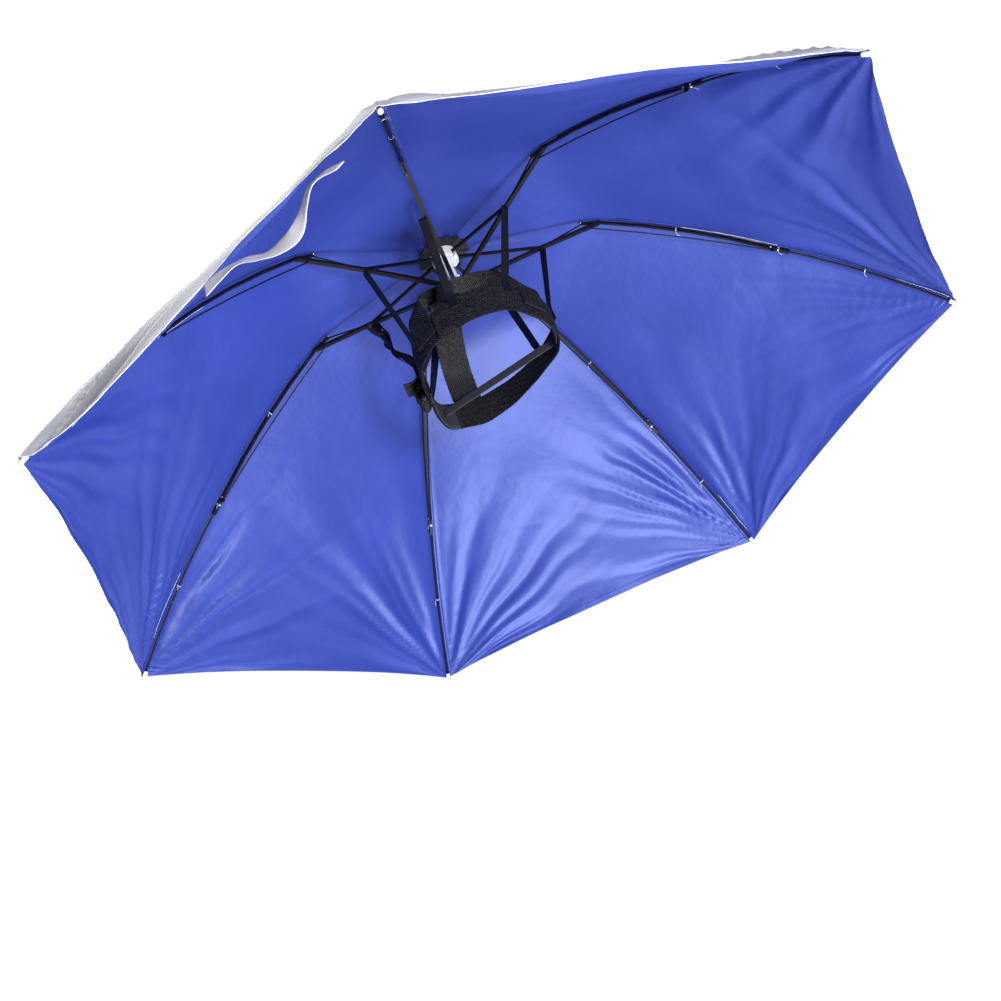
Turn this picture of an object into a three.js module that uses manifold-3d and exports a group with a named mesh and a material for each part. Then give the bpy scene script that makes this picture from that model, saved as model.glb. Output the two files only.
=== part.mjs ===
// Umbrella hat: a seven-rib folding canopy carried on the head by a webbing harness.
// Millimetres, +Z up. The origin is where the crown of the head meets the harness, on the hat's axis.
import * as THREE from 'three';
import { mergeVertices } from 'three/addons/utils/BufferGeometryUtils.js';
import Module from 'manifold-3d';

const wasm = await Module();
wasm.setup();

// Driving dimensions: the open frame, each joint by its distance from the axis and depth below the hub
const RIB_COUNT = 7;
const TIP_RADIUS = 475;
const TIP_DEPTH = 249;
const PIVOT_RADIUS = 101;
const PIVOT_DEPTH = 20;
const SLEEVE_RADIUS = 151.5;
const SLEEVE_DEPTH = 4;
const STRUT_END_RADIUS = 170.5;
const STRUT_END_DEPTH = 9;
const ELBOW_RADIUS = 327;
const ELBOW_DEPTH = 108;
const MIDDLE_BOW = 6;
const OUTER_BOW = 6.5;
const CROWN_TO_HUB = 76;

// Driving dimensions: ribs, struts and wires
const GAP = 0.3;
const RIB_WIDTH = 2.8;
const RIB_HEIGHT = 2.6;
const CHANNEL_WALL = 0.6;
const WIRE_DIAMETER = 1.6;
const ROD_DIAMETER = 2.4;
const SOCKET_LENGTH = 20;
const SOCKET_WIDTH = 4.2;
const RIVET_DIAMETER = 2.8;
const RIVET_HEAD = 0.5;
const CONTROL_WIRE_DROP = 4.2;
const CONTROL_WIRE_INSET = 12;
const TIP_CAP_LENGTH = 10;
const TIP_CAP_DIAMETER = 4.6;
const TIP_CAP_BORE_DEPTH = 7;
const TIP_CAP_SHOWN = 4;

// Driving dimensions: hub, runner, rosette and crown cap
const HUB_RADIUS = 14;
const HUB_HEIGHT = 13;
const HUB_FLANGE = 3.5;
const HUB_SLOT_DEPTH = 4;
const RUNNER_DEPTH = 38;
const RUNNER_RADIUS = 12;
const RUNNER_HEIGHT = 9;
const RUNNER_SLOT_DEPTH = 4.5;
const SLEEVE_TUBE_RADIUS = 5.5;
const ROSETTE_RADIUS = 27;
const ROSETTE_WALL = 1;
const ROSETTE_LOBES = 14;
const ROSETTE_LOBE_RISE = 1.5;
const CAP_RADIUS = 16;
const CAP_HEIGHT = 7;

// Driving dimensions: cloth
const CANOPY_WALL = 1.2;
const RIM_SCALLOP = 8;
const GORE_SAG = 5;
const RIM_DROOP = 2;

// Driving dimensions: harness
const BAND_RADIUS = 80;
const BAND_WIDTH = 34;
const BAND_WALL = 2;
const BAND_DEPTH = 52;
const BAND_TILT = 4;
const STRAP_WIDTH = 30;
const STRAP_WALL = 1.6;
const STRAP_SEWN = 24;
const FRONT_STRAP_RISE = 52;
const SIDE_STRAP_RISE = 78;
const SIDE_STRAP_LEAN = 25;
const SIDE_STRAP_SWEEP = 22;
const LEG_WIDTH = 10;
const LEG_WALL = 1.2;
const LEG_SEWN = 12;
const ELASTIC_WIDTH = 9;
const ELASTIC_WALL = 1;
const PATCH_WIDTH = 19;
const PATCH_HEIGHT = 25;
const PATCH_WALL = 1.5;
const ADJUSTER_WIDTH = 24;
const ADJUSTER_WALL = 1.5;
const ADJUSTER_TAIL = 18;
const CLOSURE_WIDTH = 14;
const CLOSURE_WALL = 1;
const CLOSURE_SAG = 24;
const CLOSURE_STEPS = 5;

// How far each rib has sprung up or down at its tip, as a share of TIP_DEPTH
const RIB_FLEX = [0.004, 0.084, 0.027, -0.022, -0.033, -0.033, -0.015];

// Head band seen from above: angle from the front in degrees, radius as a share of BAND_RADIUS
const BAND_OUTLINE = [
  { angle: 0, radius: 0.91 },
  { angle: 30, radius: 0.93 },
  { angle: 60, radius: 0.9 },
  { angle: 92, radius: 0.93 },
  { angle: 120, radius: 0.95 },
  { angle: 143, radius: 0.92 },
  { angle: 165, radius: 0.98 },
  { angle: 185, radius: 1.09 },
  { angle: 205, radius: 1.19 },
  { angle: 220, radius: 1.26 },
  { angle: 233, radius: 1.13 },
  { angle: 252, radius: 0.93 },
  { angle: 278, radius: 0.88 },
  { angle: 306, radius: 0.94 },
  { angle: 335, radius: 0.94 },
];

// Legs: where each is sewn to the band, in degrees from the front, and how far its looped top has
// slipped sideways off the pivot, as a share of LEG_WIDTH
const LEG_SEATS = [
  { angle: -8, slip: -0.4 },
  { angle: 36, slip: -0.45 },
  { angle: 96, slip: 0 },
  { angle: 138, slip: 0 },
  { angle: 228, slip: 0 },
  { angle: 269, slip: 0 },
  { angle: 305, slip: 0 },
];

// Where the two crown straps, the patch, the adjuster and the elastic are sewn to the band
const FRONT_STRAP_SEATS = { from: 204, to: -12, toSide: -1 };
const SIDE_STRAP_SEATS = { from: 321, to: 57, toSide: 1 };
const PATCH_SEAT = -20;
const ADJUSTER_SEAT = 250;
const ELASTIC_SEATS = { from: 224, to: 116 };

// Fall of the front strap from back to front: share of the way across, share of FRONT_STRAP_RISE
const FRONT_STRAP_ROWS = [
  { across: 0.06, rise: 0.77 },
  { across: 0.17, rise: 0.94 },
  { across: 0.31, rise: 0.99 },
  { across: 0.5, rise: 0.95 },
  { across: 0.72, rise: 0.87 },
  { across: 0.86, rise: 0.76 },
  { across: 0.96, rise: 0.58 },
];

// Fall of the side strap from left to right: share of the way across, share of SIDE_STRAP_RISE, and share
// of SIDE_STRAP_SWEEP towards the back
const SIDE_STRAP_ROWS = [
  { across: 0, rise: 0.46, back: 0 },
  { across: 0.12, rise: 0.6, back: 0.3 },
  { across: 0.3, rise: 0.72, back: 0.8 },
  { across: 0.45, rise: 0.78, back: 1 },
  { across: 0.6, rise: 0.74, back: 0.9 },
  { across: 0.72, rise: 0.64, back: 0.6 },
  { across: 0.82, rise: 0.51, back: 0.3 },
  { across: 0.9, rise: 0.41, back: 0.1 },
];

// Closure strap: share of the rim from rib 7 to rib 1, share of CLOSURE_SAG below it, turn in degrees
const CLOSURE_ROWS = [
  { along: 0.535, sag: 0, turn: 0 },
  { along: 0.575, sag: 0, turn: 20 },
  { along: 0.63, sag: 0.18, turn: 80 },
  { along: 0.675, sag: 0.62, turn: 50 },
  { along: 0.72, sag: 0.9, turn: 20 },
  { along: 0.758, sag: 0.92, turn: 10 },
  { along: 0.79, sag: 0.45, turn: 25 },
  { along: 0.812, sag: 0.1, turn: 70 },
  { along: 0.838, sag: 0.1, turn: 85 },
  { along: 0.885, sag: 0.4, turn: 60 },
];

// Colours and finishes
const materials = {
  canopyCloth: makeMaterial('#3443b4', 0.6, 0),
  rosetteCloth: makeMaterial('#2e2f33', 0.9, 0),
  webbing: makeMaterial('#17171a', 0.95, 0),
  tape: makeMaterial('#101117', 0.8, 0),
  elastic: makeMaterial('#3b3b41', 0.8, 0),
  closureWebbing: makeMaterial('#dcdce8', 0.8, 0),
  paintedSteel: makeMaterial('#141418', 0.4, 0.4),
  whitePlastic: makeMaterial('#e6e6ee', 0.45, 0),
};

function makeMaterial(color, roughness, metalness) {
  return new THREE.MeshStandardMaterial({ color, roughness, metalness });
}

// Mesh building

// Turns a triangle list so that its faces point out
function faceOut(positions, triangles) {
  let volume = 0;
  const corner = (i) => new THREE.Vector3().fromArray(positions, 3 * i);
  for (let t = 0; t < triangles.length; t += 3) {
    const [a, b, c] = [corner(triangles[t]), corner(triangles[t + 1]), corner(triangles[t + 2])];
    volume += a.dot(b.cross(c));
  }
  if (volume < 0) triangles.reverse();
}

function closedGeometry(positions, triangles) {
  faceOut(positions, triangles);
  const geometry = new THREE.BufferGeometry();
  geometry.setAttribute('position', new THREE.Float32BufferAttribute(positions, 3));
  geometry.setIndex(triangles);
  geometry.computeVertexNormals();
  return geometry;
}

// Sweeps a flat section through frames { at, across, up }, capped at both ends or closed on itself
function sweep(section, frames, closed = false) {
  const positions = [];
  for (const { at, across, up } of frames) {
    for (const corner of section) {
      const point = at.clone().addScaledVector(across, corner.x).addScaledVector(up, corner.y);
      positions.push(point.x, point.y, point.z);
    }
  }
  const around = section.length;
  const triangles = [];
  const spans = closed ? frames.length : frames.length - 1;
  for (let s = 0; s < spans; s += 1) {
    const here = s * around;
    const next = ((s + 1) % frames.length) * around;
    for (let k = 0; k < around; k += 1) {
      const k2 = (k + 1) % around;
      triangles.push(here + k, here + k2, next + k2, here + k, next + k2, next + k);
    }
  }
  if (!closed) {
    const last = (frames.length - 1) * around;
    for (const [a, b, c] of THREE.ShapeUtils.triangulateShape(section, [])) {
      triangles.push(a, c, b, last + a, last + b, last + c);
    }
  }
  return closedGeometry(positions, triangles);
}

function rectangle(width, height, x = 0, y = 0) {
  const [w, h] = [width / 2, height / 2];
  return [[-w, -h], [w, -h], [w, h], [-w, h]].map(([px, py]) => new THREE.Vector2(x + px, y + py));
}

function polygon(diameter, sides) {
  const corners = Array.from({ length: sides }, (_, k) => (2 * Math.PI * (k + 0.5)) / sides);
  return corners.map((a) => new THREE.Vector2((diameter / 2) * Math.cos(a), (diameter / 2) * Math.sin(a)));
}

// A U section open at its top
function channel(width, bottom, top, wall) {
  const w = width / 2;
  const corners = [
    [-w, bottom], [w, bottom], [w, top], [w - wall, top],
    [w - wall, bottom + wall], [wall - w, bottom + wall], [wall - w, top], [-w, top],
  ];
  return corners.map(([x, y]) => new THREE.Vector2(x, y));
}

// Frames along points in a rib's own upright plane, the section's up side towards the cloth
function uprightFrames(points) {
  return points.map((point, i) => {
    const before = points[Math.max(i - 1, 0)];
    const after = points[Math.min(i + 1, points.length - 1)];
    const run = new THREE.Vector2(after.x - before.x, after.y - before.y).normalize();
    return {
      at: new THREE.Vector3(point.x, 0, point.y),
      across: new THREE.Vector3(0, 1, 0),
      up: new THREE.Vector3(-run.y, 0, run.x),
    };
  });
}

// Frames along a free path, its width direction given by a function of the point's number and the run
function ribbonFrames(points, acrossAt) {
  return points.map((at, i) => {
    const [last, next] = [points[Math.max(i - 1, 0)], points[Math.min(i + 1, points.length - 1)]];
    const run = next.clone().sub(last).normalize();
    const across = acrossAt(i, run).clone().addScaledVector(run, -acrossAt(i, run).dot(run)).normalize();
    return { at, across, up: run.clone().cross(across).normalize() };
  });
}

function toManifold(geometry) {
  const bare = geometry.clone();
  bare.deleteAttribute('normal');
  bare.deleteAttribute('uv');
  const merged = mergeVertices(bare, 1e-5);
  const vertProperties = new Float32Array(merged.attributes.position.array);
  const triVerts = new Uint32Array(merged.index.array);
  return new wasm.Manifold(new wasm.Mesh({ numProp: 3, vertProperties, triVerts }));
}

function fromManifold(solid) {
  const { vertProperties, triVerts } = solid.getMesh();
  return closedGeometry(Array.from(vertProperties), Array.from(triVerts));
}

function join(...geometries) {
  return fromManifold(geometries.map(toManifold).reduce((whole, piece) => whole.add(piece)));
}

function cut(geometry, ...tools) {
  const whole = toManifold(geometry);
  return fromManifold(tools.map(toManifold).reduce((rest, tool) => rest.subtract(tool), whole));
}

// A lathed solid standing on the axis, its profile given as [radius, height] pairs
function lathe(profile, sides) {
  const points = profile.map(([radius, height]) => new THREE.Vector2(radius, height));
  const geometry = new THREE.LatheGeometry(points, sides);
  geometry.rotateX(Math.PI / 2);
  return closedFromLathe(geometry);
}

function closedFromLathe(geometry) {
  geometry.deleteAttribute('normal');
  geometry.deleteAttribute('uv');
  const merged = mergeVertices(geometry, 1e-4);
  const index = Array.from(merged.index.array);
  const kept = [];
  for (let t = 0; t < index.length; t += 3) {
    const [a, b, c] = index.slice(t, t + 3);
    if (a !== b && b !== c && c !== a) kept.push(a, b, c);
  }
  return closedGeometry(Array.from(merged.attributes.position.array), kept);
}

// The ribs' lines

const ribAngle = (rib) => (2 * Math.PI * rib) / RIB_COUNT;
const HALF_GORE = Math.PI / RIB_COUNT;

// Height that a rib's spring adds at a distance from the axis
function flexAt(rib, radius) {
  const share = Math.max(0, (radius - SLEEVE_RADIUS) / (TIP_RADIUS - SLEEVE_RADIUS));
  return RIB_FLEX[rib % RIB_COUNT] * TIP_DEPTH * share ** 1.5;
}

// A joint as { radius, height } in the rib's plane, height measured from the hub
function joint(rib, radius, depth) {
  return new THREE.Vector2(radius, -depth + flexAt(rib, radius));
}

// Points from one joint to the next, bowed up towards the cloth
function bowed(from, to, bow, steps) {
  const run = to.clone().sub(from);
  const normal = new THREE.Vector2(-run.y, run.x).normalize();
  return Array.from({ length: steps + 1 }, (_, k) => {
    const t = k / steps;
    return from.clone().addScaledVector(run, t).addScaledVector(normal, 4 * bow * t * (1 - t));
  });
}

function middleRibLine(rib) {
  const sleeve = joint(rib, SLEEVE_RADIUS, SLEEVE_DEPTH);
  const strutEnd = joint(rib, STRUT_END_RADIUS, STRUT_END_DEPTH);
  const elbow = joint(rib, ELBOW_RADIUS, ELBOW_DEPTH);
  return [sleeve, ...bowed(strutEnd, elbow, MIDDLE_BOW, 4)];
}

function outerRibLine(rib) {
  return bowed(joint(rib, ELBOW_RADIUS, ELBOW_DEPTH), joint(rib, TIP_RADIUS, TIP_DEPTH), OUTER_BOW, 5);
}

// Cuts or keeps a polyline by lengths from its two ends
function trimmed(line, fromStart, fromEnd) {
  const lengths = runningLengths(line);
  const total = lengths[lengths.length - 1];
  const inner = line.filter((_, i) => lengths[i] > fromStart + 1e-6 && lengths[i] < total - fromEnd - 1e-6);
  return [pointAlong(line, fromStart), ...inner, pointAlong(line, total - fromEnd)];
}

function runningLengths(line) {
  const lengths = [0];
  for (let i = 1; i < line.length; i += 1) lengths.push(lengths[i - 1] + line[i].distanceTo(line[i - 1]));
  return lengths;
}

function pointAlong(line, length) {
  const lengths = runningLengths(line);
  let i = 1;
  while (i < line.length - 1 && lengths[i] < length) i += 1;
  const share = (length - lengths[i - 1]) / (lengths[i] - lengths[i - 1]);
  return line[i - 1].clone().lerp(line[i], share);
}

// Frame pieces, each made in its rib's own plane: x outward, z up, hub at zero

const channelWidth = RIB_WIDTH + 2 * (GAP + CHANNEL_WALL);
const channelBottom = -(RIB_HEIGHT / 2 + GAP + CHANNEL_WALL);
const channelTop = RIB_HEIGHT / 2 - GAP;

function rivet(point, depth) {
  const side = channelWidth / 2 + RIVET_HEAD;
  const head = polygon(RIVET_DIAMETER, 6);
  return [-1, 1].map((sign) => {
    const ends = [sign * (channelWidth / 2 - CHANNEL_WALL / 2), sign * side];
    return sweep(head, ends.map((y) => ({
      at: new THREE.Vector3(point.x, y, point.y + depth),
      across: new THREE.Vector3(1, 0, 0),
      up: new THREE.Vector3(0, 0, 1),
    })));
  });
}

function topRibGeometry(rib) {
  const inner = new THREE.Vector2(HUB_RADIUS - HUB_SLOT_DEPTH + GAP, 0);
  const pivot = joint(rib, PIVOT_RADIUS, PIVOT_DEPTH);
  const section = channel(RIB_WIDTH, -RIB_HEIGHT / 2, RIB_HEIGHT / 2, CHANNEL_WALL);
  return sweep(section, uprightFrames([inner, pivot]));
}

function strutGeometry(rib) {
  const inner = new THREE.Vector2(RUNNER_RADIUS - RUNNER_SLOT_DEPTH + GAP, -RUNNER_DEPTH);
  const pivot = joint(rib, PIVOT_RADIUS, PIVOT_DEPTH);
  const end = joint(rib, STRUT_END_RADIUS, STRUT_END_DEPTH);
  const line = [inner, pivot, end];
  const bar = sweep(channel(channelWidth, channelBottom, channelTop, CHANNEL_WALL), uprightFrames(line));
  const barLength = runningLengths(line)[2];
  const root = pointAlong(line, barLength - CONTROL_WIRE_INSET);
  const [elbow, beyond] = outerRibLine(rib);
  const run = beyond.clone().sub(elbow).normalize();
  const wireStart = root.clone().add(new THREE.Vector2(0, channelBottom + CHANNEL_WALL / 2));
  const drop = CONTROL_WIRE_DROP - WIRE_DIAMETER / 2;
  const wireEnd = elbow.clone().add(new THREE.Vector2(run.y, -run.x).multiplyScalar(drop));
  const turn = root.clone().add(new THREE.Vector2(CONTROL_WIRE_INSET / 4, channelBottom - WIRE_DIAMETER));
  const wire = [wireStart, turn, ...bowed(turn, wireEnd, MIDDLE_BOW / 2, 4).slice(1)];
  const wireBody = sweep(polygon(WIRE_DIAMETER, 6), uprightFrames(wire));
  return join(bar, wireBody, ...rivet(pivot, channelBottom / 4), ...rivet(end, channelBottom / 4));
}

function middleRibGeometry(rib) {
  const line = trimmed(middleRibLine(rib), 0, GAP);
  const floorHeight = (CHANNEL_WALL - RIB_HEIGHT) / 2;
  const bar = sweep(channel(RIB_WIDTH, -RIB_HEIGHT / 2, RIB_HEIGHT / 2, CHANNEL_WALL), uprightFrames(line));
  const eye = sweep(rectangle(RIB_WIDTH, RIB_HEIGHT), uprightFrames([line[0], pointAlong(line, RIB_WIDTH)]));
  const pivot = joint(rib, PIVOT_RADIUS, PIVOT_DEPTH);
  const linkEnd = pointAlong(line, RIB_WIDTH / 2).add(new THREE.Vector2(0, floorHeight / 2));
  const linkRun = linkEnd.clone().sub(pivot).normalize();
  const linkStart = pivot.clone().addScaledVector(linkRun, RIB_HEIGHT / 2 + WIRE_DIAMETER / 2 + GAP);
  const link = sweep(polygon(WIRE_DIAMETER, 6), uprightFrames([linkStart, linkEnd]));
  return join(bar, eye, link);
}

function outerRibGeometry(rib) {
  const line = trimmed(outerRibLine(rib), GAP, TIP_CAP_LENGTH - TIP_CAP_BORE_DEPTH + GAP);
  const rod = sweep(polygon(ROD_DIAMETER, 6), uprightFrames(line));
  const crimp = trimmed(line, 0, runningLengths(line)[line.length - 1] - SOCKET_LENGTH);
  const socket = sweep(rectangle(SOCKET_WIDTH, RIB_HEIGHT), uprightFrames(crimp));
  const lever = rectangle(WIRE_DIAMETER, CONTROL_WIRE_DROP, 0, -CONTROL_WIRE_DROP / 2);
  const leverBody = sweep(lever, uprightFrames([crimp[0], pointAlong(crimp, SOCKET_WIDTH)]));
  return join(rod, socket, leverBody);
}

function tipCapGeometry() {
  const [outer, bore] = [TIP_CAP_DIAMETER / 2, ROD_DIAMETER / 2 + GAP];
  const profile = [
    [0, TIP_CAP_BORE_DEPTH], [bore, TIP_CAP_BORE_DEPTH], [bore, 0], [outer, 0],
    [outer, TIP_CAP_LENGTH - outer], [outer * 0.7, TIP_CAP_LENGTH - outer * 0.25], [0, TIP_CAP_LENGTH],
  ];
  return lathe(profile, 8);
}

function placeTipCap(mesh, rib) {
  const line = outerRibLine(rib);
  const total = runningLengths(line)[line.length - 1];
  const [base, end] = [pointAlong(line, total - TIP_CAP_LENGTH), pointAlong(line, total)];
  const run = new THREE.Vector3(end.x - base.x, 0, end.y - base.y).normalize();
  mesh.position.set(base.x, 0, base.y);
  mesh.quaternion.setFromUnitVectors(new THREE.Vector3(0, 0, 1), run);
}

// Hub, runner, rosette and crown cap, round the axis

const hubTop = HUB_HEIGHT / 2;
const rosetteTop = hubTop + GAP + ROSETTE_WALL;
const canopyFloor = rosetteTop + GAP;

function slotTools(radius, depth, width, bottom, top) {
  return Array.from({ length: RIB_COUNT }, (_, rib) => {
    const reach = depth * 2;
    const box = new THREE.BoxGeometry(reach, width, top - bottom);
    box.translate(radius - depth + reach / 2, 0, (top + bottom) / 2);
    return box.rotateZ(ribAngle(rib));
  });
}

function hubGeometry() {
  const edge = HUB_HEIGHT / 10;
  const profile = [
    [0, -hubTop], [HUB_RADIUS - edge, -hubTop],
    [HUB_RADIUS, edge - hubTop], [HUB_RADIUS, hubTop], [0, hubTop],
  ];
  const slotWidth = RIB_WIDTH + 2 * GAP;
  const slotTop = hubTop - HUB_FLANGE;
  return cut(lathe(profile, 28), ...slotTools(HUB_RADIUS, HUB_SLOT_DEPTH, slotWidth, -HUB_HEIGHT, slotTop));
}

function runnerGeometry() {
  const [low, high] = [-RUNNER_DEPTH - RUNNER_HEIGHT / 2, -RUNNER_DEPTH + RUNNER_HEIGHT / 2];
  const tubeTop = -hubTop - GAP;
  const profile = [
    [0, low], [RUNNER_RADIUS, low], [RUNNER_RADIUS, high],
    [SLEEVE_TUBE_RADIUS, high], [SLEEVE_TUBE_RADIUS, tubeTop], [0, tubeTop],
  ];
  const slotWidth = channelWidth + 2 * (GAP + RIVET_HEAD);
  return cut(lathe(profile, 28), ...slotTools(RUNNER_RADIUS, RUNNER_SLOT_DEPTH, slotWidth, 2 * low, 0));
}

function rosetteGeometry() {
  const outline = Array.from({ length: ROSETTE_LOBES * 4 }, (_, k) => {
    const a = (2 * Math.PI * k) / (ROSETTE_LOBES * 4);
    const radius = ROSETTE_RADIUS + ROSETTE_LOBE_RISE * Math.cos(ROSETTE_LOBES * a);
    return new THREE.Vector2(radius * Math.cos(a), radius * Math.sin(a));
  });
  const extrusion = { depth: ROSETTE_WALL, bevelEnabled: false };
  const geometry = new THREE.ExtrudeGeometry(new THREE.Shape(outline), extrusion);
  return geometry.translate(0, 0, hubTop + GAP);
}

function crownCapGeometry() {
  const base = canopyFloor + CANOPY_WALL + GAP;
  const profile = [
    [0, base], [CAP_RADIUS, base], [CAP_RADIUS, base + CAP_HEIGHT * 0.35],
    [CAP_RADIUS * 0.9, base + CAP_HEIGHT * 0.7],
    [CAP_RADIUS * 0.6, base + CAP_HEIGHT], [0, base + CAP_HEIGHT],
  ];
  return lathe(profile, 24);
}

// Canopy: seven gores, ridged over the ribs

// How far the cloth's inner side lies over a rib's axis, so that the gores' slope clears the rib's
// edges and the round tip cap
const overSocket = RIB_HEIGHT / 2 + (Math.max(SOCKET_WIDTH, RIB_WIDTH) / 2) * Math.tan(HALF_GORE);
const overTipCap = TIP_CAP_DIAMETER / 2 / Math.cos(HALF_GORE);
const ridgeRise = GAP + Math.max(overSocket, overTipCap);

// The ridge over one rib, from the axis to the canopy's corner at the tip cap
function ridgeLine(rib) {
  const middle = middleRibLine(rib);
  const outer = outerRibLine(rib);
  const whole = [...middle, ...outer.slice(1)];
  const ribLine = trimmed(whole, 0, TIP_CAP_SHOWN);
  const raised = uprightFrames(ribLine).map(({ at, up }) => {
    const lifted = at.clone().addScaledVector(up, ridgeRise);
    return new THREE.Vector2(lifted.x, lifted.z);
  });
  const flat = new THREE.Vector2(ROSETTE_RADIUS + ROSETTE_LOBE_RISE, canopyFloor);
  const shoulder = flat.clone().lerp(raised[0], 0.5);
  return [new THREE.Vector2(0, canopyFloor), flat, shoulder, ...raised];
}

const RIDGES = Array.from({ length: RIB_COUNT }, (_, rib) => ridgeLine(rib));
const GORE_STEPS = 6;

const smooth = (x) => THREE.MathUtils.smoothstep(x, 0, 1);

// A point of the cloth's inner side: row along the ridges, v from -1 at one rib to 1 at the next
function clothPoint(gore, row, v) {
  const [left, right] = [RIDGES[gore], RIDGES[(gore + 1) % RIB_COUNT]];
  const ends = [left, right].map((ridge, side) => {
    const lengths = runningLengths(ridge);
    const total = lengths[lengths.length - 1];
    const share = lengths[row] / total;
    const pull = RIM_SCALLOP * (1 - Math.abs(v) ** 2.6) * smooth((share - 0.5) / 0.5);
    const point = pointAlong(ridge, lengths[row] - pull);
    const angle = ribAngle(gore + side);
    const at = new THREE.Vector3(point.x * Math.cos(angle), point.x * Math.sin(angle), point.y);
    return { at, share };
  });
  const { share } = ends[0];
  const along = THREE.MathUtils.clamp((share - 0.2) / 0.7, 0, 1);
  const sag = GORE_SAG * (1 - v * v) * Math.sin(Math.PI * along) ** 2;
  const droop = RIM_DROOP * (1 - v ** 4) * smooth((share - 0.8) / 0.2) ** 2;
  const middle = ribAngle(gore + 0.5);
  const slope = smooth((share - 0.2) / 0.8) * 0.75;
  const inward = new THREE.Vector3(
    -Math.sin(slope) * Math.cos(middle), -Math.sin(slope) * Math.sin(middle), -Math.cos(slope),
  );
  return ends[0].at.clone().lerp(ends[1].at, (v + 1) / 2).addScaledVector(inward, sag + droop);
}

function canopyGeometry() {
  const rows = RIDGES[0].length;
  const columns = RIB_COUNT * GORE_STEPS;
  const grid = [];
  for (let row = 1; row < rows; row += 1) {
    for (let column = 0; column < columns; column += 1) {
      const [gore, step] = [Math.floor(column / GORE_STEPS), column % GORE_STEPS];
      grid.push(clothPoint(gore, row, (2 * step) / GORE_STEPS - 1));
    }
  }
  const pole = new THREE.Vector3(0, 0, canopyFloor);
  const skin = [];
  for (let column = 0; column < columns; column += 1) {
    const beside = (column + 1) % columns;
    skin.push([columns * (rows - 1), column, beside]);
    for (let row = 0; row < rows - 2; row += 1) {
      const [a, b] = [row * columns + column, row * columns + beside];
      skin.push([a, a + columns, b + columns], [a, b + columns, b]);
    }
  }
  const inner = [...grid, pole];
  const normals = inner.map(() => new THREE.Vector3());
  for (const [a, b, c] of skin) {
    const normal = inner[b].clone().sub(inner[a]).cross(inner[c].clone().sub(inner[a]));
    [a, b, c].forEach((corner) => normals[corner].add(normal));
  }
  const outer = inner.map((point, i) => point.clone().addScaledVector(normals[i].normalize(), CANOPY_WALL));
  const count = inner.length;
  const triangles = skin.flatMap(([a, b, c]) => [a, c, b, count + a, count + b, count + c]);
  const rim = (rows - 2) * columns;
  for (let column = 0; column < columns; column += 1) {
    const [a, b] = [rim + column, rim + ((column + 1) % columns)];
    triangles.push(a, b, count + b, a, count + b, count + a);
  }
  return closedGeometry([...inner, ...outer].flatMap((p) => [p.x, p.y, p.z]), triangles);
}

// Harness, measured down from the origin at the crown of the head

const bandRadius = closedCurve(BAND_OUTLINE.map(({ radius }) => radius * BAND_RADIUS));

// A smooth closed run through the outline's radii, by angle in degrees
function closedCurve(radii) {
  const angles = BAND_OUTLINE.map(({ angle }) => angle);
  const points = angles.map((angle, i) => {
    const a = THREE.MathUtils.degToRad(angle);
    return new THREE.Vector3(radii[i] * Math.cos(a), radii[i] * Math.sin(a), 0);
  });
  return new THREE.CatmullRomCurve3(points, true, 'centripetal');
}

// The band's middle line as points, and one of them by its angle
const BAND_STEPS = 48;
const BAND_LINE = Array.from({ length: BAND_STEPS }, (_, k) => {
  const point = bandRadius.getPoint(k / BAND_STEPS);
  point.z = -BAND_DEPTH + (BAND_TILT * point.x) / BAND_RADIUS;
  return point;
});

function bandFrame(k) {
  const [before, after] = [BAND_LINE.at(k - 1), BAND_LINE[(k + 1) % BAND_STEPS]];
  const run = after.clone().sub(before).setZ(0).normalize();
  return { at: BAND_LINE[k], across: new THREE.Vector3(run.y, -run.x, 0), up: new THREE.Vector3(0, 0, 1) };
}

function bandAt(degrees) {
  const a = THREE.MathUtils.degToRad(degrees);
  const facing = new THREE.Vector3(Math.cos(a), Math.sin(a), 0);
  const frames = BAND_LINE.map((_, k) => bandFrame(k));
  const best = frames.map(({ at }) => at.clone().setZ(0).normalize().dot(facing));
  const k = best.indexOf(Math.max(...best));
  const beside = best.at(k - 1) > best[(k + 1) % BAND_STEPS] ? k - 1 : (k + 1) % BAND_STEPS;
  const [one, two] = [frames[k], frames.at(beside)];
  const cross = (frame) => frame.at.x * facing.y - frame.at.y * facing.x;
  const share = cross(one) / (cross(one) - cross(two));
  const at = one.at.clone().lerp(two.at, share);
  const across = one.across.clone().lerp(two.across, share).normalize();
  const run = new THREE.Vector3(-across.y, across.x, 0);
  return { at, across, run, up: new THREE.Vector3(0, 0, 1) };
}

// Distance out from the band's middle line to a flat piece of a width that lies on its outer side
function seatOffset(seat, width, wall, side = 1) {
  const faces = BAND_LINE.map((_, k) => {
    const { at, across } = bandFrame(k);
    return at.clone().addScaledVector(across, (side * BAND_WALL) / 2).sub(seat.at).setZ(0);
  });
  const samples = faces.flatMap((face, k) => {
    return [0, 0.2, 0.4, 0.6, 0.8].map((t) => face.clone().lerp(faces[(k + 1) % BAND_STEPS], t));
  });
  const half = width / 2 + wall;
  const near = samples.filter((face) => face.length() < width && Math.abs(face.dot(seat.run)) < half);
  const reach = near.map((face) => side * face.dot(seat.across));
  return side * (Math.max(BAND_WALL / 2, ...reach) + GAP + wall / 2);
}

function headBandGeometry() {
  const section = rectangle(BAND_WALL, BAND_WIDTH);
  return sweep(section, BAND_LINE.map((_, k) => bandFrame(k)), true);
}

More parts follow.
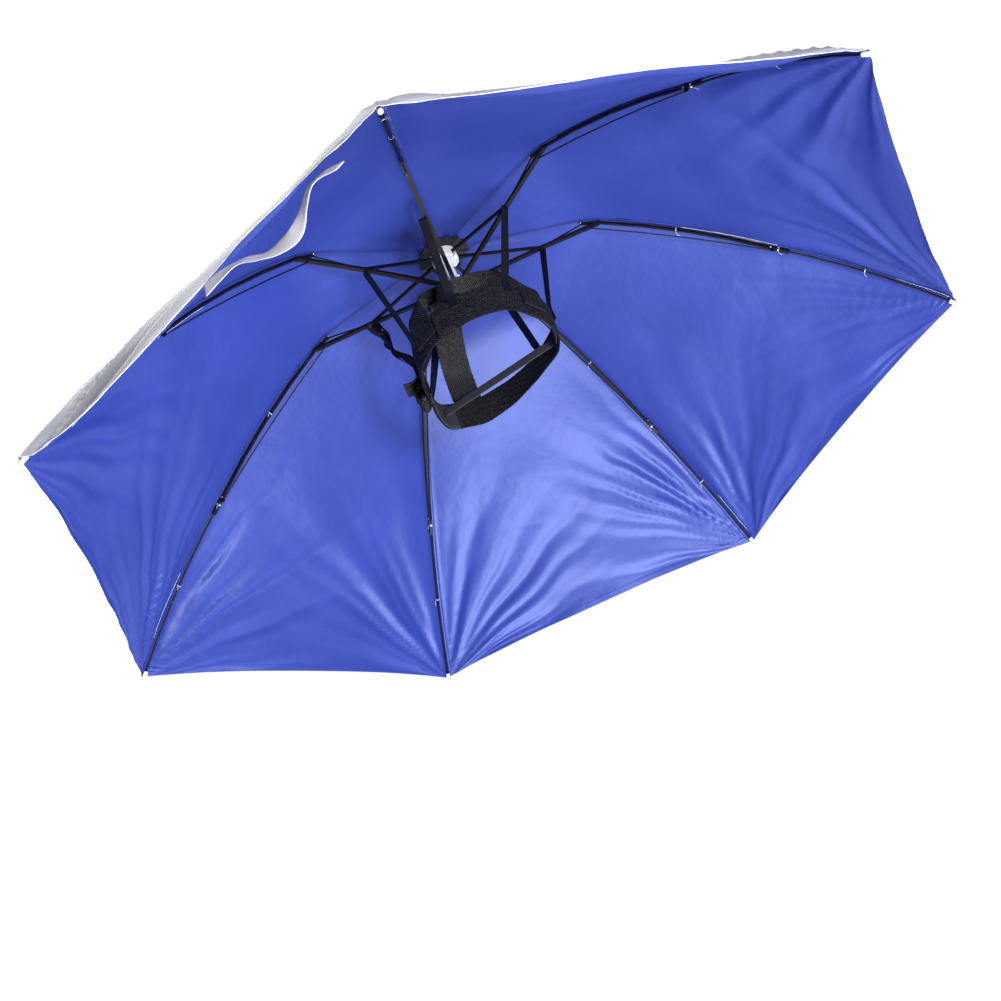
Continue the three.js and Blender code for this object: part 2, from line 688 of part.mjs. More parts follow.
// The run of points where a strap is sewn flat to the band, lowest first; side -1 is the inner side
function sewnRun(degrees, width, wall, length, side = 1) {
  const seat = bandAt(degrees);
  const out = seat.at.clone().addScaledVector(seat.across, seatOffset(seat, width, wall, side));
  const top = BAND_WIDTH / 2 + wall * 2;
  const heights = [BAND_WIDTH / 2 - length, BAND_WIDTH / 2, top];
  return { seat, points: heights.map((height) => out.clone().setZ(seat.at.z + height)) };
}

function crownStrapGeometry(seats, rows, rise, lean = 0, sweepBack = 0) {
  const from = sewnRun(seats.from, STRAP_WIDTH, STRAP_WALL, STRAP_SEWN);
  const to = sewnRun(seats.to, STRAP_WIDTH, STRAP_WALL, STRAP_SEWN, seats.toSide);
  const [start, end] = [from.points[2], to.points[2]];
  const base = -BAND_DEPTH;
  const straight = end.clone().sub(start).setZ(0).normalize();
  const aside = new THREE.Vector3(-straight.y, straight.x, 0);
  const free = rows.map(({ across, rise: share, back = 0 }) => {
    const point = start.clone().lerp(end, across).addScaledVector(aside, back * sweepBack);
    return point.setZ(base + share * rise + STRAP_WALL / 2);
  });
  const controls = [from.points[1], start, ...free, end, to.points[1]];
  const curve = new THREE.CatmullRomCurve3(controls, false, 'centripetal');
  const points = [from.points[0], ...curve.getPoints(26), to.points[0]];
  const level = new THREE.Vector3(straight.y, -straight.x, 0);
  const leant = level.clone().setZ(Math.tan(THREE.MathUtils.degToRad(lean)));
  const acrossAt = (i) => {
    const share = i / (points.length - 1);
    const near = from.seat.run.clone().multiplyScalar(Math.sign(from.seat.run.dot(level)));
    const far = to.seat.run.clone().multiplyScalar(Math.sign(to.seat.run.dot(level)));
    const blend = smooth((share - 0.12) / 0.2) - smooth((share - 0.68) / 0.2);
    const middle = level.clone().lerp(leant, smooth((share - 0.3) / 0.25));
    return (share < 0.5 ? near : far).clone().lerp(middle, blend).normalize();
  };
  return sweep(rectangle(STRAP_WIDTH, STRAP_WALL), ribbonFrames(points, acrossAt));
}

function patchGeometry() {
  const seat = bandAt(PATCH_SEAT);
  const out = seatOffset(seat, PATCH_WIDTH, PATCH_WALL);
  const at = seat.at.clone().addScaledVector(seat.across, out);
  at.z -= (BAND_WIDTH - PATCH_HEIGHT) / 2;
  const frames = [-1, 1].map((end) => ({
    at: at.clone().addScaledVector(seat.run, (end * PATCH_WIDTH) / 2),
    across: seat.across,
    up: seat.up,
  }));
  return sweep(rectangle(PATCH_WALL, PATCH_HEIGHT), frames);
}

// Webbing folded over the band's top, its tail standing out
function adjusterGeometry() {
  const seat = bandAt(ADJUSTER_SEAT);
  const outer = seatOffset(seat, ADJUSTER_WIDTH, ADJUSTER_WALL);
  const inner = seatOffset(seat, ADJUSTER_WIDTH, ADJUSTER_WALL, -1);
  const slope = (BAND_TILT * ADJUSTER_WIDTH) / (2 * BAND_RADIUS);
  const top = BAND_WIDTH / 2 + slope + GAP + ADJUSTER_WALL / 2;
  const corners = [
    [inner, -BAND_WIDTH / 4], [inner, top], [outer, top],
    [outer + ADJUSTER_TAIL * 0.45, top - ADJUSTER_TAIL * 0.35],
    [outer + ADJUSTER_TAIL, top - ADJUSTER_TAIL * 0.3],
  ];
  const points = corners.map(([out, height]) => {
    return seat.at.clone().addScaledVector(seat.across, out).addScaledVector(seat.up, height);
  });
  return sweep(rectangle(ADJUSTER_WIDTH, ADJUSTER_WALL), miteredFrames(points, seat.run));
}

// Frames at sharp bends, each stretched so that the wall keeps its thickness
function miteredFrames(points, across) {
  return ribbonFrames(points, () => across).map((frame, i) => {
    if (i === 0 || i === points.length - 1) return frame;
    const run = points[i].clone().sub(points[i - 1]).normalize();
    const stretch = 1 / Math.max(0.5, frame.up.dot(run.clone().cross(frame.across).normalize()));
    return { ...frame, up: frame.up.clone().multiplyScalar(stretch) };
  });
}

function elasticGeometry() {
  const ends = [ELASTIC_SEATS.from, ELASTIC_SEATS.to].map((degrees) => {
    const seat = bandAt(degrees);
    const inside = seatOffset(seat, ELASTIC_WIDTH, ELASTIC_WALL, -1);
    const at = seat.at.clone().addScaledVector(seat.across, inside);
    return { at, seat };
  });
  const [from, to] = ends;
  const [start, end] = [from.at, to.at];
  const points = [0, 0.12, 0.3, 0.5, 0.7, 0.88, 1].map((t) => start.clone().lerp(end, t));
  return sweep(rectangle(ELASTIC_WALL, ELASTIC_WIDTH), points.map((at) => {
    const run = end.clone().sub(start).setZ(0).normalize();
    return { at, across: new THREE.Vector3(run.y, -run.x, 0), up: new THREE.Vector3(0, 0, 1) };
  }));
}

// A leg hangs from its pivot, in the whole hat's frame
function legGeometry(rib) {
  const angle = ribAngle(rib);
  const outward = new THREE.Vector3(Math.cos(angle), Math.sin(angle), 0);
  const pivot = joint(rib, PIVOT_RADIUS, PIVOT_DEPTH);
  const drop = channelBottom - GAP - LEG_WALL;
  const top = outward.clone().multiplyScalar(pivot.x).setZ(CROWN_TO_HUB + pivot.y + drop);
  const { angle: seatAngle, slip } = LEG_SEATS[rib % LEG_SEATS.length];
  const { seat, points } = sewnRun(seatAngle, LEG_WIDTH, LEG_WALL, LEG_SEWN);
  const round = new THREE.Vector3(-Math.sin(angle), Math.cos(angle), 0);
  top.addScaledVector(round, slip * LEG_WIDTH);
  const free = [0.15, 0.5, 1].map((t) => points[2].clone().lerp(top, t));
  const path = [...points, ...free];
  const acrossAt = (i) => seat.run.clone().lerp(round, smooth((i - 2) / 3));
  return sweep(rectangle(LEG_WIDTH, LEG_WALL), ribbonFrames(path, acrossAt));
}

// Closure strap, hanging from the inside of the rim between rib 7 and rib 1
function closureStrapGeometry() {
  const gore = RIB_COUNT - 1;
  const row = RIDGES[0].length - 1;
  const rimAt = (share) => clothPoint(gore, row, 2 * share - 1);
  const middle = ribAngle(gore + 0.5);
  const inward = new THREE.Vector3(-Math.cos(middle), -Math.sin(middle), 0);
  const controls = CLOSURE_ROWS.map(({ along, sag }) => {
    const point = rimAt(along);
    point.z -= CLOSURE_WIDTH / 2 + GAP + sag * CLOSURE_SAG;
    return point.addScaledVector(inward, GAP + CLOSURE_WALL / 2);
  });
  const between = CLOSURE_STEPS;
  const curve = new THREE.CatmullRomCurve3(controls, false, 'centripetal');
  const points = curve.getPoints((controls.length - 1) * between);
  const acrossAt = (i, run) => {
    const ends = [Math.floor(i / between), Math.ceil(i / between)];
    const [before, after] = ends.map((k) => CLOSURE_ROWS[k].turn);
    const turn = THREE.MathUtils.degToRad(THREE.MathUtils.lerp(before, after, (i % between) / between));
    const side = inward.clone().addScaledVector(run, -inward.dot(run)).normalize();
    const lift = run.clone().cross(side).normalize();
    return lift.multiplyScalar(Math.cos(turn)).addScaledVector(side, Math.sin(turn));
  };
  return sweep(rectangle(CLOSURE_WIDTH, CLOSURE_WALL), ribbonFrames(points, acrossAt));
}

// The assembly

function named(name, geometry, material) {
  const mesh = new THREE.Mesh(geometry, material);
  mesh.name = name;
  return mesh;
}

function ribAssembly(rib) {
  const group = new THREE.Group();
  group.rotation.z = ribAngle(rib);
  const number = rib + 1;
  const tip = named(`rib_tip_${number}`, tipCapGeometry(), materials.whitePlastic);
  placeTipCap(tip, rib);
  group.add(
    named(`top_rib_${number}`, topRibGeometry(rib), materials.paintedSteel),
    named(`strut_${number}`, strutGeometry(rib), materials.paintedSteel),
    named(`middle_rib_${number}`, middleRibGeometry(rib), materials.paintedSteel),
    named(`outer_rib_${number}`, outerRibGeometry(rib), materials.paintedSteel),
    tip,
  );
  return group;
}

const umbrella = new THREE.Group();
umbrella.position.z = CROWN_TO_HUB;
umbrella.add(
  named('canopy', canopyGeometry(), materials.canopyCloth),
  named('crown_cap', crownCapGeometry(), materials.whitePlastic),
  named('rosette', rosetteGeometry(), materials.rosetteCloth),
  named('hub', hubGeometry(), materials.whitePlastic),
  named('runner', runnerGeometry(), materials.whitePlastic),
  named('closure_strap', closureStrapGeometry(), materials.closureWebbing),
);
for (let rib = 0; rib < RIB_COUNT; rib += 1) umbrella.add(ribAssembly(rib));

const harness = new THREE.Group();
harness.add(
  named('head_band', headBandGeometry(), materials.webbing),
  named(
    'crown_strap_front',
    crownStrapGeometry(FRONT_STRAP_SEATS, FRONT_STRAP_ROWS, FRONT_STRAP_RISE),
    materials.webbing,
  ),
  named(
    'crown_strap_side',
    crownStrapGeometry(
      SIDE_STRAP_SEATS, SIDE_STRAP_ROWS, SIDE_STRAP_RISE, SIDE_STRAP_LEAN, SIDE_STRAP_SWEEP,
    ),
    materials.webbing,
  ),
  named('strap_patch', patchGeometry(), materials.webbing),
  named('band_adjuster', adjusterGeometry(), materials.webbing),
  named('side_elastic', elasticGeometry(), materials.elastic),
);
for (let rib = 0; rib < RIB_COUNT; rib += 1) {
  harness.add(named(`leg_${rib + 1}`, legGeometry(rib), materials.tape));
}

const hat = new THREE.Group();
hat.add(umbrella, harness);

export default hat;
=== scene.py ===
"""Umbrella hat: the looks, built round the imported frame. Metres; sizes in the tables are in millimetres."""

import math

import bpy
import numpy as np
from mathutils import Matrix, Vector


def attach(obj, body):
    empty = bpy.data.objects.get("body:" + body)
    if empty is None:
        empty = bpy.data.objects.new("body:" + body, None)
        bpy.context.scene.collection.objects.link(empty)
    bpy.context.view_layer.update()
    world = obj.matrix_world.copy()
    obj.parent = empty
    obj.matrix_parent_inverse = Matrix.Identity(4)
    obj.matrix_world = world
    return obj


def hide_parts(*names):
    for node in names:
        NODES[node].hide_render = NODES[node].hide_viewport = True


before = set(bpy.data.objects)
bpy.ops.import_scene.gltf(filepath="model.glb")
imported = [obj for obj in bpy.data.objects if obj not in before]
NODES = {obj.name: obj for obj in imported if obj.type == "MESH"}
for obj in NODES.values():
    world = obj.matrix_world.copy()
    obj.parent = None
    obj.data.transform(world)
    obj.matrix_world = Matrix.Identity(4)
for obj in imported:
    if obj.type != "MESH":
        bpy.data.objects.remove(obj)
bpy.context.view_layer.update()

MM = 0.001
BODY = "root"
RIBS = 7
HALF_GORE = math.pi / RIBS
rng = np.random.default_rng(7)

# The open frame as the solids have it: each joint's distance from the axis and height over the hub
HUB_RISE = 76
PIVOT = (101, -20)
SLEEVE = (151.5, -4)
STRUT_END = (170.5, -9)
ELBOW = (327, -108)
TIP = (475, -249)
MIDDLE_BOW = 6
OUTER_BOW = 6.5
RIM_HALF = TIP[0] * math.sin(HALF_GORE)
RIB_FLEX = (0.004, 0.084, 0.027, -0.022, -0.033, -0.033, -0.015)
RIDGE_RISE = 2.85
CANOPY_FLOOR = 8.1
ROSETTE_REACH = 28.5
HUB_TOP = 6.5
TIP_CAP_SHOWN = 4
RIM_SCALLOP = 8
GORE_SAG = 5
RIM_DROOP = 2

# Cloth and webbing
CLOTH_WALL = 0.4
HEM_WIDTH = 7
BAND_RADIUS = 80
BAND_WIDTH = 34
BAND_DEPTH = 52
BAND_TILT = 4
STRAP_WIDTH = 30


# Colours and nodes

def srgb(text, alpha=1.0):
    """A hex colour as linear numbers."""
    channels = [int(text[i:i + 2], 16) / 255 for i in (1, 3, 5)]
    return [c / 12.92 if c <= 0.04045 else ((c + 0.055) / 1.055) ** 2.4 for c in channels] + [alpha]


def add(material, kind, settings=None, **links):
    """Adds a node: settings are its own properties, or a ramp's stops; links are its sockets by name."""
    node = material.node_tree.nodes.new(kind)
    for key, value in (settings or {}).items():
        if key == "stops":
            for element, (at, colour) in zip(node.color_ramp.elements, value):
                element.position, element.color = at, srgb(colour)
        else:
            setattr(node, key, value)
    for key, value in links.items():
        socket = next(s for s in node.inputs if key in (s.name.replace(" ", "_"), s.identifier))
        if isinstance(value, bpy.types.Node):
            value = value.outputs[0]
        if isinstance(value, bpy.types.NodeSocket):
            material.node_tree.links.new(value, socket)
        else:
            socket.default_value = value
    return node


NOISE, RAMP, BUMP, MATH = "ShaderNodeTexNoise", "ShaderNodeValToRGB", "ShaderNodeBump", "ShaderNodeMath"
SHADER, OUTPUT = "ShaderNodeBsdfPrincipled", "ShaderNodeOutputMaterial"


def new_material(name):
    """An empty material, and the place on the piece that its patterns are laid by."""
    material = bpy.data.materials.new(name)
    material.use_nodes = True
    material.node_tree.nodes.clear()
    return material, add(material, "ShaderNodeTexCoord").outputs["Object"]


def weave_height(material, across_mm, along_mm, diagonal=0.0, share=0.5, level=0.5):
    """Height of a plain weave from the piece's own run: UV in metres across and along."""
    uv = add(material, "ShaderNodeUVMap", {"uv_map": "Run"})
    split = add(material, "ShaderNodeSeparateXYZ", Vector=uv)
    weft = add(material, MATH, {"operation": "MULTIPLY"}, Value=split.outputs["X"],
               Value_001=2 * math.pi / (across_mm * MM))
    warp = add(material, MATH, {"operation": "MULTIPLY"}, Value=split.outputs["Y"],
               Value_001=2 * math.pi / (along_mm * MM))
    if diagonal:
        warp = add(material, MATH, {"operation": "MULTIPLY_ADD"}, Value=weft, Value_001=diagonal, Value_002=warp)
    waves = [add(material, MATH, {"operation": "SINE"}, Value=turn) for turn in (weft, warp)]
    crossing = add(material, MATH, {"operation": "MULTIPLY"}, Value=waves[0], Value_001=waves[1])
    return add(material, MATH, {"operation": "MULTIPLY_ADD"}, Value=crossing, Value_001=share, Value_002=level)


def taffeta_inside():
    """Polyester taffeta, plain woven and piece-dyed royal blue: smooth, with a soft gloss in the light."""
    material, place = new_material("polyester_taffeta_dyed_blue")
    dye = add(material, NOISE, Vector=place, Scale=1 / (90 * MM), Detail=3, Roughness=0.5)
    tone = add(material, RAMP, {"stops": ((0.3, "#27378B"), (0.7, "#2D3D94"))}, Fac=dye)
    rumple = add(material, NOISE, Vector=place, Scale=1 / (14 * MM), Detail=5, Roughness=0.55)
    relief = add(material, BUMP, Height=rumple, Distance=0.9 * MM, Strength=0.55)
    # Threads are near 0.1 mm; their grain is drawn eight times coarser to hold in the picture
    grain = add(material, NOISE, Vector=place, Scale=1 / (0.8 * MM), Detail=2, Roughness=0.6)
    grained = add(material, BUMP, Height=grain, Distance=0.05 * MM, Strength=0.4, Normal=relief)
    surface = add(material, SHADER, Base_Color=tone, Normal=grained, Roughness=0.43, IOR=1.6,
                  Specular_Tint=srgb("#C4D2FF"), Specular_IOR_Level=0.55)
    add(material, OUTPUT, Surface=surface)
    return material


def silver_outside():
    """The same taffeta's other face, coated with aluminium-pigmented silver: pale, satin, slightly lilac."""
    material, place = new_material("polyester_taffeta_silver_coated")
    coat = add(material, NOISE, Vector=place, Scale=1 / (60 * MM), Detail=4, Roughness=0.55)
    tone = add(material, RAMP, {"stops": ((0.3, "#C9CBDE"), (0.7, "#D1D3E4"))}, Fac=coat)
    rumple = add(material, NOISE, Vector=place, Scale=1 / (11 * MM), Detail=5, Roughness=0.55)
    relief = add(material, BUMP, Height=rumple, Distance=0.9 * MM, Strength=0.3)
    grain = add(material, NOISE, Vector=place, Scale=1 / (0.8 * MM), Detail=2, Roughness=0.6)
    grained = add(material, BUMP, Height=grain, Distance=0.02 * MM, Strength=0.3, Normal=relief)
    surface = add(material, SHADER, Base_Color=tone, Normal=grained, Metallic=0.1, Roughness=0.55)
    add(material, OUTPUT, Surface=surface)
    return material


def hem_edge():
    """The hem's turned edge, where the silver coating shows as a thin white line."""
    material, place = new_material("hem_edge_silver_coated")
    coat = add(material, NOISE, Vector=place, Scale=1 / (6 * MM), Detail=3, Roughness=0.5)
    tone = add(material, RAMP, {"stops": ((0.3, "#D9DAEA"), (0.7, "#F2F2FA"))}, Fac=coat)
    grain = add(material, NOISE, Vector=place, Scale=1 / (1.5 * MM), Detail=2, Roughness=0.5)
    relief = add(material, BUMP, Height=grain, Distance=0.2 * MM, Strength=0.5)
    surface = add(material, SHADER, Base_Color=tone, Normal=relief, Roughness=0.55)
    add(material, OUTPUT, Surface=surface)
    return material


def black_lacquer():
    """Pressed steel channel dipped in black lacquer: satin black, rubbed to bare steel in short streaks."""
    material, place = new_material("steel_black_lacquered")
    streaks = add(material, NOISE, Vector=place, Scale=1 / (3.2 * MM), Detail=4, Roughness=0.6)
    tone = add(material, RAMP, {"stops": ((0.67, "#060608"), (0.71, "#6A6A72"))}, Fac=streaks)
    bare = add(material, RAMP, {"stops": ((0.68, "#000000"), (0.72, "#FFFFFF"))}, Fac=streaks)
    skin = add(material, NOISE, Vector=place, Scale=1 / (1.1 * MM), Detail=3, Roughness=0.5)
    relief = add(material, BUMP, Height=skin, Distance=0.06 * MM, Strength=0.5)
    surface = add(material, SHADER, Base_Color=tone, Metallic=bare, Normal=relief, Roughness=0.45,
                  Specular_IOR_Level=0.3)
    add(material, OUTPUT, Surface=surface)
    return material


def bare_steel():
    """Rivet heads of nickel-plated steel, headed cold: bright and slightly uneven."""
    material, place = new_material("steel_rivet_nickel_plated")
    plating = add(material, NOISE, Vector=place, Scale=1 / (1.2 * MM), Detail=2, Roughness=0.5)
    tone = add(material, RAMP, {"stops": ((0.35, "#8E8E93"), (0.65, "#C4C4C8"))}, Fac=plating)
    dents = add(material, NOISE, Vector=place, Scale=1 / (0.6 * MM), Detail=2, Roughness=0.5)
    relief = add(material, BUMP, Height=dents, Distance=0.04 * MM, Strength=0.5)
    surface = add(material, SHADER, Base_Color=tone, Normal=relief, Metallic=1.0, Roughness=0.3)
    add(material, OUTPUT, Surface=surface)
    return material


def white_abs():
    """ABS, injection moulded in white: satin, with a faint skin texture."""
    material, place = new_material("abs_moulded_white")
    flow = add(material, NOISE, Vector=place, Scale=1 / (9 * MM), Detail=3, Roughness=0.5)
    tone = add(material, RAMP, {"stops": ((0.3, "#ECECF4"), (0.7, "#F8F8FC"))}, Fac=flow)
    skin = add(material, NOISE, Vector=place, Scale=1 / (0.9 * MM), Detail=3, Roughness=0.5)
    relief = add(material, BUMP, Height=skin, Distance=0.05 * MM, Strength=0.4)
    surface = add(material, SHADER, Base_Color=tone, Normal=relief, Roughness=0.36, IOR=1.53)
    add(material, OUTPUT, Surface=surface)
    return material


def webbing_black():
    """Polypropylene webbing, woven coarse in black: dull ribs, with a painted highlight on the raised threads
    where they cross, uneven in patches.
    """
    material, place = new_material("polypropylene_webbing_woven_black")
    uneven_rise_and_glint = add(material, NOISE, Vector=place, Scale=1 / (2.6 * MM), Detail=3, Roughness=0.7)
    lift = add(material, MATH, {"operation": "MULTIPLY"}, Value=uneven_rise_and_glint, Value_001=0.9)
    # Real threads are near 1 mm; they are drawn over twice as coarse to hold in the picture
    height = weave_height(material, 2.4, 2.8, share=0.35, level=lift)
    # Painted highlight: the weave's raised threads are coloured light grey and its hollows near black
    tone = add(material, RAMP, {"stops": ((0.54, "#040405"), (0.76, "#4A4A50"))}, Fac=height)
    relief = add(material, BUMP, Height=height, Distance=0.2 * MM, Strength=0.8)
    fuzz = add(material, NOISE, Vector=place, Scale=1 / (0.7 * MM), Detail=3, Roughness=0.7)
    fuzzed = add(material, BUMP, Height=fuzz, Distance=0.12 * MM, Strength=0.6, Normal=relief)
    surface = add(material, SHADER, Base_Color=tone, Normal=fuzzed, Roughness=0.78, Specular_IOR_Level=0.25)
    add(material, OUTPUT, Surface=surface)
    return material


def tape_black():
    """Nylon tape, woven fine in black: smooth and faintly glossy."""
    material, _ = new_material("nylon_tape_woven_black")
    height = weave_height(material, 1.1, 0.9)
    # Painted shade: the weave's hollows are coloured darker than its raised threads
    tone = add(material, RAMP, {"stops": ((0.1, "#030305"), (0.9, "#0C0D12"))}, Fac=height)
    relief = add(material, BUMP, Height=height, Distance=0.14 * MM, Strength=0.7)
    surface = add(material, SHADER, Base_Color=tone, Normal=relief, Roughness=0.5, Specular_IOR_Level=0.3)
    add(material, OUTPUT, Surface=surface)
    return material


def elastic_grey():
    """Knitted elastic with rubber cores, dark grey: even lengthwise cords."""
    material, _ = new_material("elastic_knitted_grey")
    height = weave_height(material, 1.0, 1.6)
    # Painted shade: the cords' hollows are coloured darker than their tops
    tone = add(material, RAMP, {"stops": ((0.1, "#27272B"), (0.9, "#3A3A40"))}, Fac=height)
    relief = add(material, BUMP, Height=height, Distance=0.15 * MM, Strength=0.7)
    surface = add(material, SHADER, Base_Color=tone, Normal=relief, Roughness=0.62)
    add(material, OUTPUT, Surface=surface)
    return material


def tape_white():
    """Cotton-blend tape, woven and bleached: white with a cool cast and a fine twill."""
    material, _ = new_material("closure_tape_woven_white")
    height = weave_height(material, 1.2, 1.0, diagonal=1.0)
    # Painted shade: the twill's hollows are coloured greyer than its raised threads
    tone = add(material, RAMP, {"stops": ((0.1, "#C9CAE0"), (0.9, "#EDEDF8"))}, Fac=height)
    relief = add(material, BUMP, Height=height, Distance=0.14 * MM, Strength=0.7)
    surface = add(material, SHADER, Base_Color=tone, Normal=relief, Roughness=0.7, Sheen_Weight=0.2)
    add(material, OUTPUT, Surface=surface)
    return material


def rosette_cloth():
    """Polyester cloth disc, hot-cut into scallops, dark grey and matt."""
    material, place = new_material("rosette_polyester_hot_cut_grey")
    dye = add(material, NOISE, Vector=place, Scale=1 / (5 * MM), Detail=4, Roughness=0.5)
    tone = add(material, RAMP, {"stops": ((0.3, "#141518"), (0.7, "#26272C"))}, Fac=dye)
    fuzz = add(material, NOISE, Vector=place, Scale=1 / (1.0 * MM), Detail=3, Roughness=0.7)
    relief = add(material, BUMP, Height=fuzz, Distance=0.12 * MM, Strength=0.6)
    surface = add(material, SHADER, Base_Color=tone, Normal=relief, Roughness=0.8)
    add(material, OUTPUT, Surface=surface)
    return material


def thread(name, dark, light):
    """Spun polyester sewing thread: soft, its tone uneven along it."""
    material, place = new_material(name)
    dye = add(material, NOISE, Vector=place, Scale=1 / (1.5 * MM), Detail=2, Roughness=0.5)
    tone = add(material, RAMP, {"stops": ((0.3, dark), (0.7, light))}, Fac=dye)
    twist = add(material, NOISE, Vector=place, Scale=1 / (0.3 * MM), Detail=2, Roughness=0.5)
    relief = add(material, BUMP, Height=twist, Distance=0.04 * MM, Strength=0.5)
    surface = add(material, SHADER, Base_Color=tone, Normal=relief, Roughness=0.6, Sheen_Weight=0.2)
    add(material, OUTPUT, Surface=surface)
    return material


BLUE = taffeta_inside()
SILVER = silver_outside()
HEM = hem_edge()
LACQUER = black_lacquer()
RIVET = bare_steel()
PLASTIC = white_abs()
WEBBING = webbing_black()
TAPE = tape_black()
ELASTIC = elastic_grey()
WHITE_TAPE = tape_white()
ROSETTE = rosette_cloth()
WHITE_THREAD = thread("polyester_thread_white", "#D6D6E6", "#F4F4FA")
BLUE_THREAD = thread("polyester_thread_blue", "#2A3AA6", "#3A4CBE")
BLACK_THREAD = thread("polyester_thread_black", "#141418", "#26262C")


# Mesh making

def make(name, vertices, faces, materials, indices=None, smooth=True, uv=None):
    """An object from vertices in millimetres and faces; uv gives each vertex's place across and along."""
    mesh = bpy.data.meshes.new(name)
    mesh.from_pydata((np.asarray(vertices, float) * MM).tolist(), [], [list(map(int, f)) for f in faces])
    for material in materials:
        mesh.materials.append(material)
    if indices is not None:
        mesh.polygons.foreach_set("material_index", list(indices))
    mesh.polygons.foreach_set("use_smooth", [smooth] * len(mesh.polygons))
    if uv is not None:
        layer = mesh.uv_layers.new(name="Run")
        loops = np.empty(len(mesh.loops), int)
        mesh.loops.foreach_get("vertex_index", loops)
        layer.data.foreach_set("uv", (np.asarray(uv, float)[loops] * MM).ravel())
    mesh.validate()
    mesh.update()
    piece = bpy.data.objects.new(name, mesh)
    bpy.context.collection.objects.link(piece)
    return piece


def unit(v):
    v = np.asarray(v, float)
    return v / np.maximum(np.linalg.norm(v, axis=-1, keepdims=True), 1e-9)


def spline(points, step):
    """Points on a smooth run through the given rows of numbers, about one step apart by their first three."""
    p = np.asarray(points, float)
    chord = np.linalg.norm(np.diff(p[:, :3], axis=0), axis=1)
    knots = np.concatenate([[0], np.cumsum(np.sqrt(np.maximum(chord, 1e-6)))])
    lengths = np.concatenate([[0], np.cumsum(chord)])
    count = max(2, int(lengths[-1] / step) + 1)
    at = np.interp(np.linspace(0, lengths[-1], count), lengths, knots)
    slopes = np.gradient(p, knots, axis=0)
    i = np.clip(np.searchsorted(knots, at, side="right") - 1, 0, len(p) - 2)
    h = (knots[i + 1] - knots[i])[:, None]
    t = (at[:, None] - knots[i][:, None]) / h
    return ((2 * t ** 3 - 3 * t ** 2 + 1) * p[i] + (t ** 3 - 2 * t ** 2 + t) * h * slopes[i]
            + (3 * t ** 2 - 2 * t ** 3) * p[i + 1] + (t ** 3 - t ** 2) * h * slopes[i + 1])


def rounded_section(width, wall, bow=0.0):
    """A flat strap's section: rounded edges, and its middle bowed up."""
    w, h = width / 2, wall / 2
    top = [(-w + h, h), (-w / 2, h), (0, h), (w / 2, h), (w - h, h)]
    edge = [(w - h * 0.3, h * 0.7), (w, 0), (w - h * 0.3, -h * 0.7)]
    bottom = [(x, -y) for x, y in reversed(top)]
    other = [(-x, -y) for x, y in edge]
    section = np.array(top + edge + bottom + other)
    section[:, 1] += bow * (1 - (section[:, 0] / w) ** 2)
    return section


def tube_of(section, centres, across, up, closed=False, offset=0):
    """Vertices, faces and run of a section carried along centres."""
    rings = centres[:, None] + across[:, None] * section[None, :, :1] + up[:, None] * section[None, :, 1:]
    n, m = rings.shape[:2]
    faces = []
    for i in range(n if closed else n - 1):
        a, b = i * m, ((i + 1) % n) * m
        faces += [(a + k, a + (k + 1) % m, b + (k + 1) % m, b + k) for k in range(m)]
    if not closed:
        faces += [tuple(reversed(range(m))), tuple(range((n - 1) * m, n * m))]
    along = np.concatenate([[0], np.cumsum(np.linalg.norm(np.diff(centres, axis=0), axis=1))])
    uv = np.stack([np.tile(section[:, 0], n), np.repeat(along, m)], axis=1)
    return rings.reshape(-1, 3), [tuple(np.add(f, offset)) for f in faces], uv


def directions(centres, across):
    """Square frames along a run: the width direction squared to the run, and up."""
    run = unit(np.gradient(centres, axis=0))
    across = unit(across - run * np.sum(across * run, axis=1, keepdims=True))
    return run, across, np.cross(run, across)


def strap(name, rows, width, wall, material, step=2.5, bow=0.0, ripple=0.0, seed=0):
    """A flat strap through rows of x, y, z and the width's direction."""
    smooth_rows = spline(rows, step)
    centres, across = smooth_rows[:, :3], unit(smooth_rows[:, 3:6])
    _, across, up = directions(centres, across)
    if ripple:
        draw = np.random.default_rng(seed)
        t = np.linspace(0, 1, len(centres))
        waves = sum(np.sin(2 * math.pi * (f * t + draw.random())) / f for f in (2, 3, 5))
        ease = np.minimum(1, np.minimum(t, 1 - t) * 8)
        centres = centres + up * (ripple * waves * ease)[:, None]
    vertices, faces, uv = tube_of(rounded_section(width, wall, bow), centres, across, up)
    piece = make(name, vertices, faces, [material], uv=uv)
    return piece, centres, across, up


def round_wire(points, diameter, sides=8):
    """Vertices and faces of a round wire through points."""
    points = np.asarray(points, float)
    run = unit(np.gradient(points, axis=0))
    guide = np.array([0.0, 0.0, 1.0]) if abs(run[0][2]) < 0.9 else np.array([1.0, 0.0, 0.0])
    across = [unit(np.cross(guide, run[0]))]
    for r in run[1:]:
        across.append(unit(across[-1] - r * np.dot(across[-1], r)))
    across = np.array(across)
    angles = 2 * math.pi * np.arange(sides) / sides
    section = np.stack([np.cos(angles), np.sin(angles)], axis=1) * diameter / 2
    return tube_of(section, points, across, np.cross(run, across))


def joined(name, parts, material, smooth=True):
    """One object from (vertices, faces) parts."""
    vertices, faces, count = [], [], 0
    for part in parts:
        vertices.append(part[0])
        faces += [tuple(i + count for i in f) for f in part[1]]
        count += len(part[0])
    return make(name, np.concatenate(vertices), faces, [material], smooth=smooth)


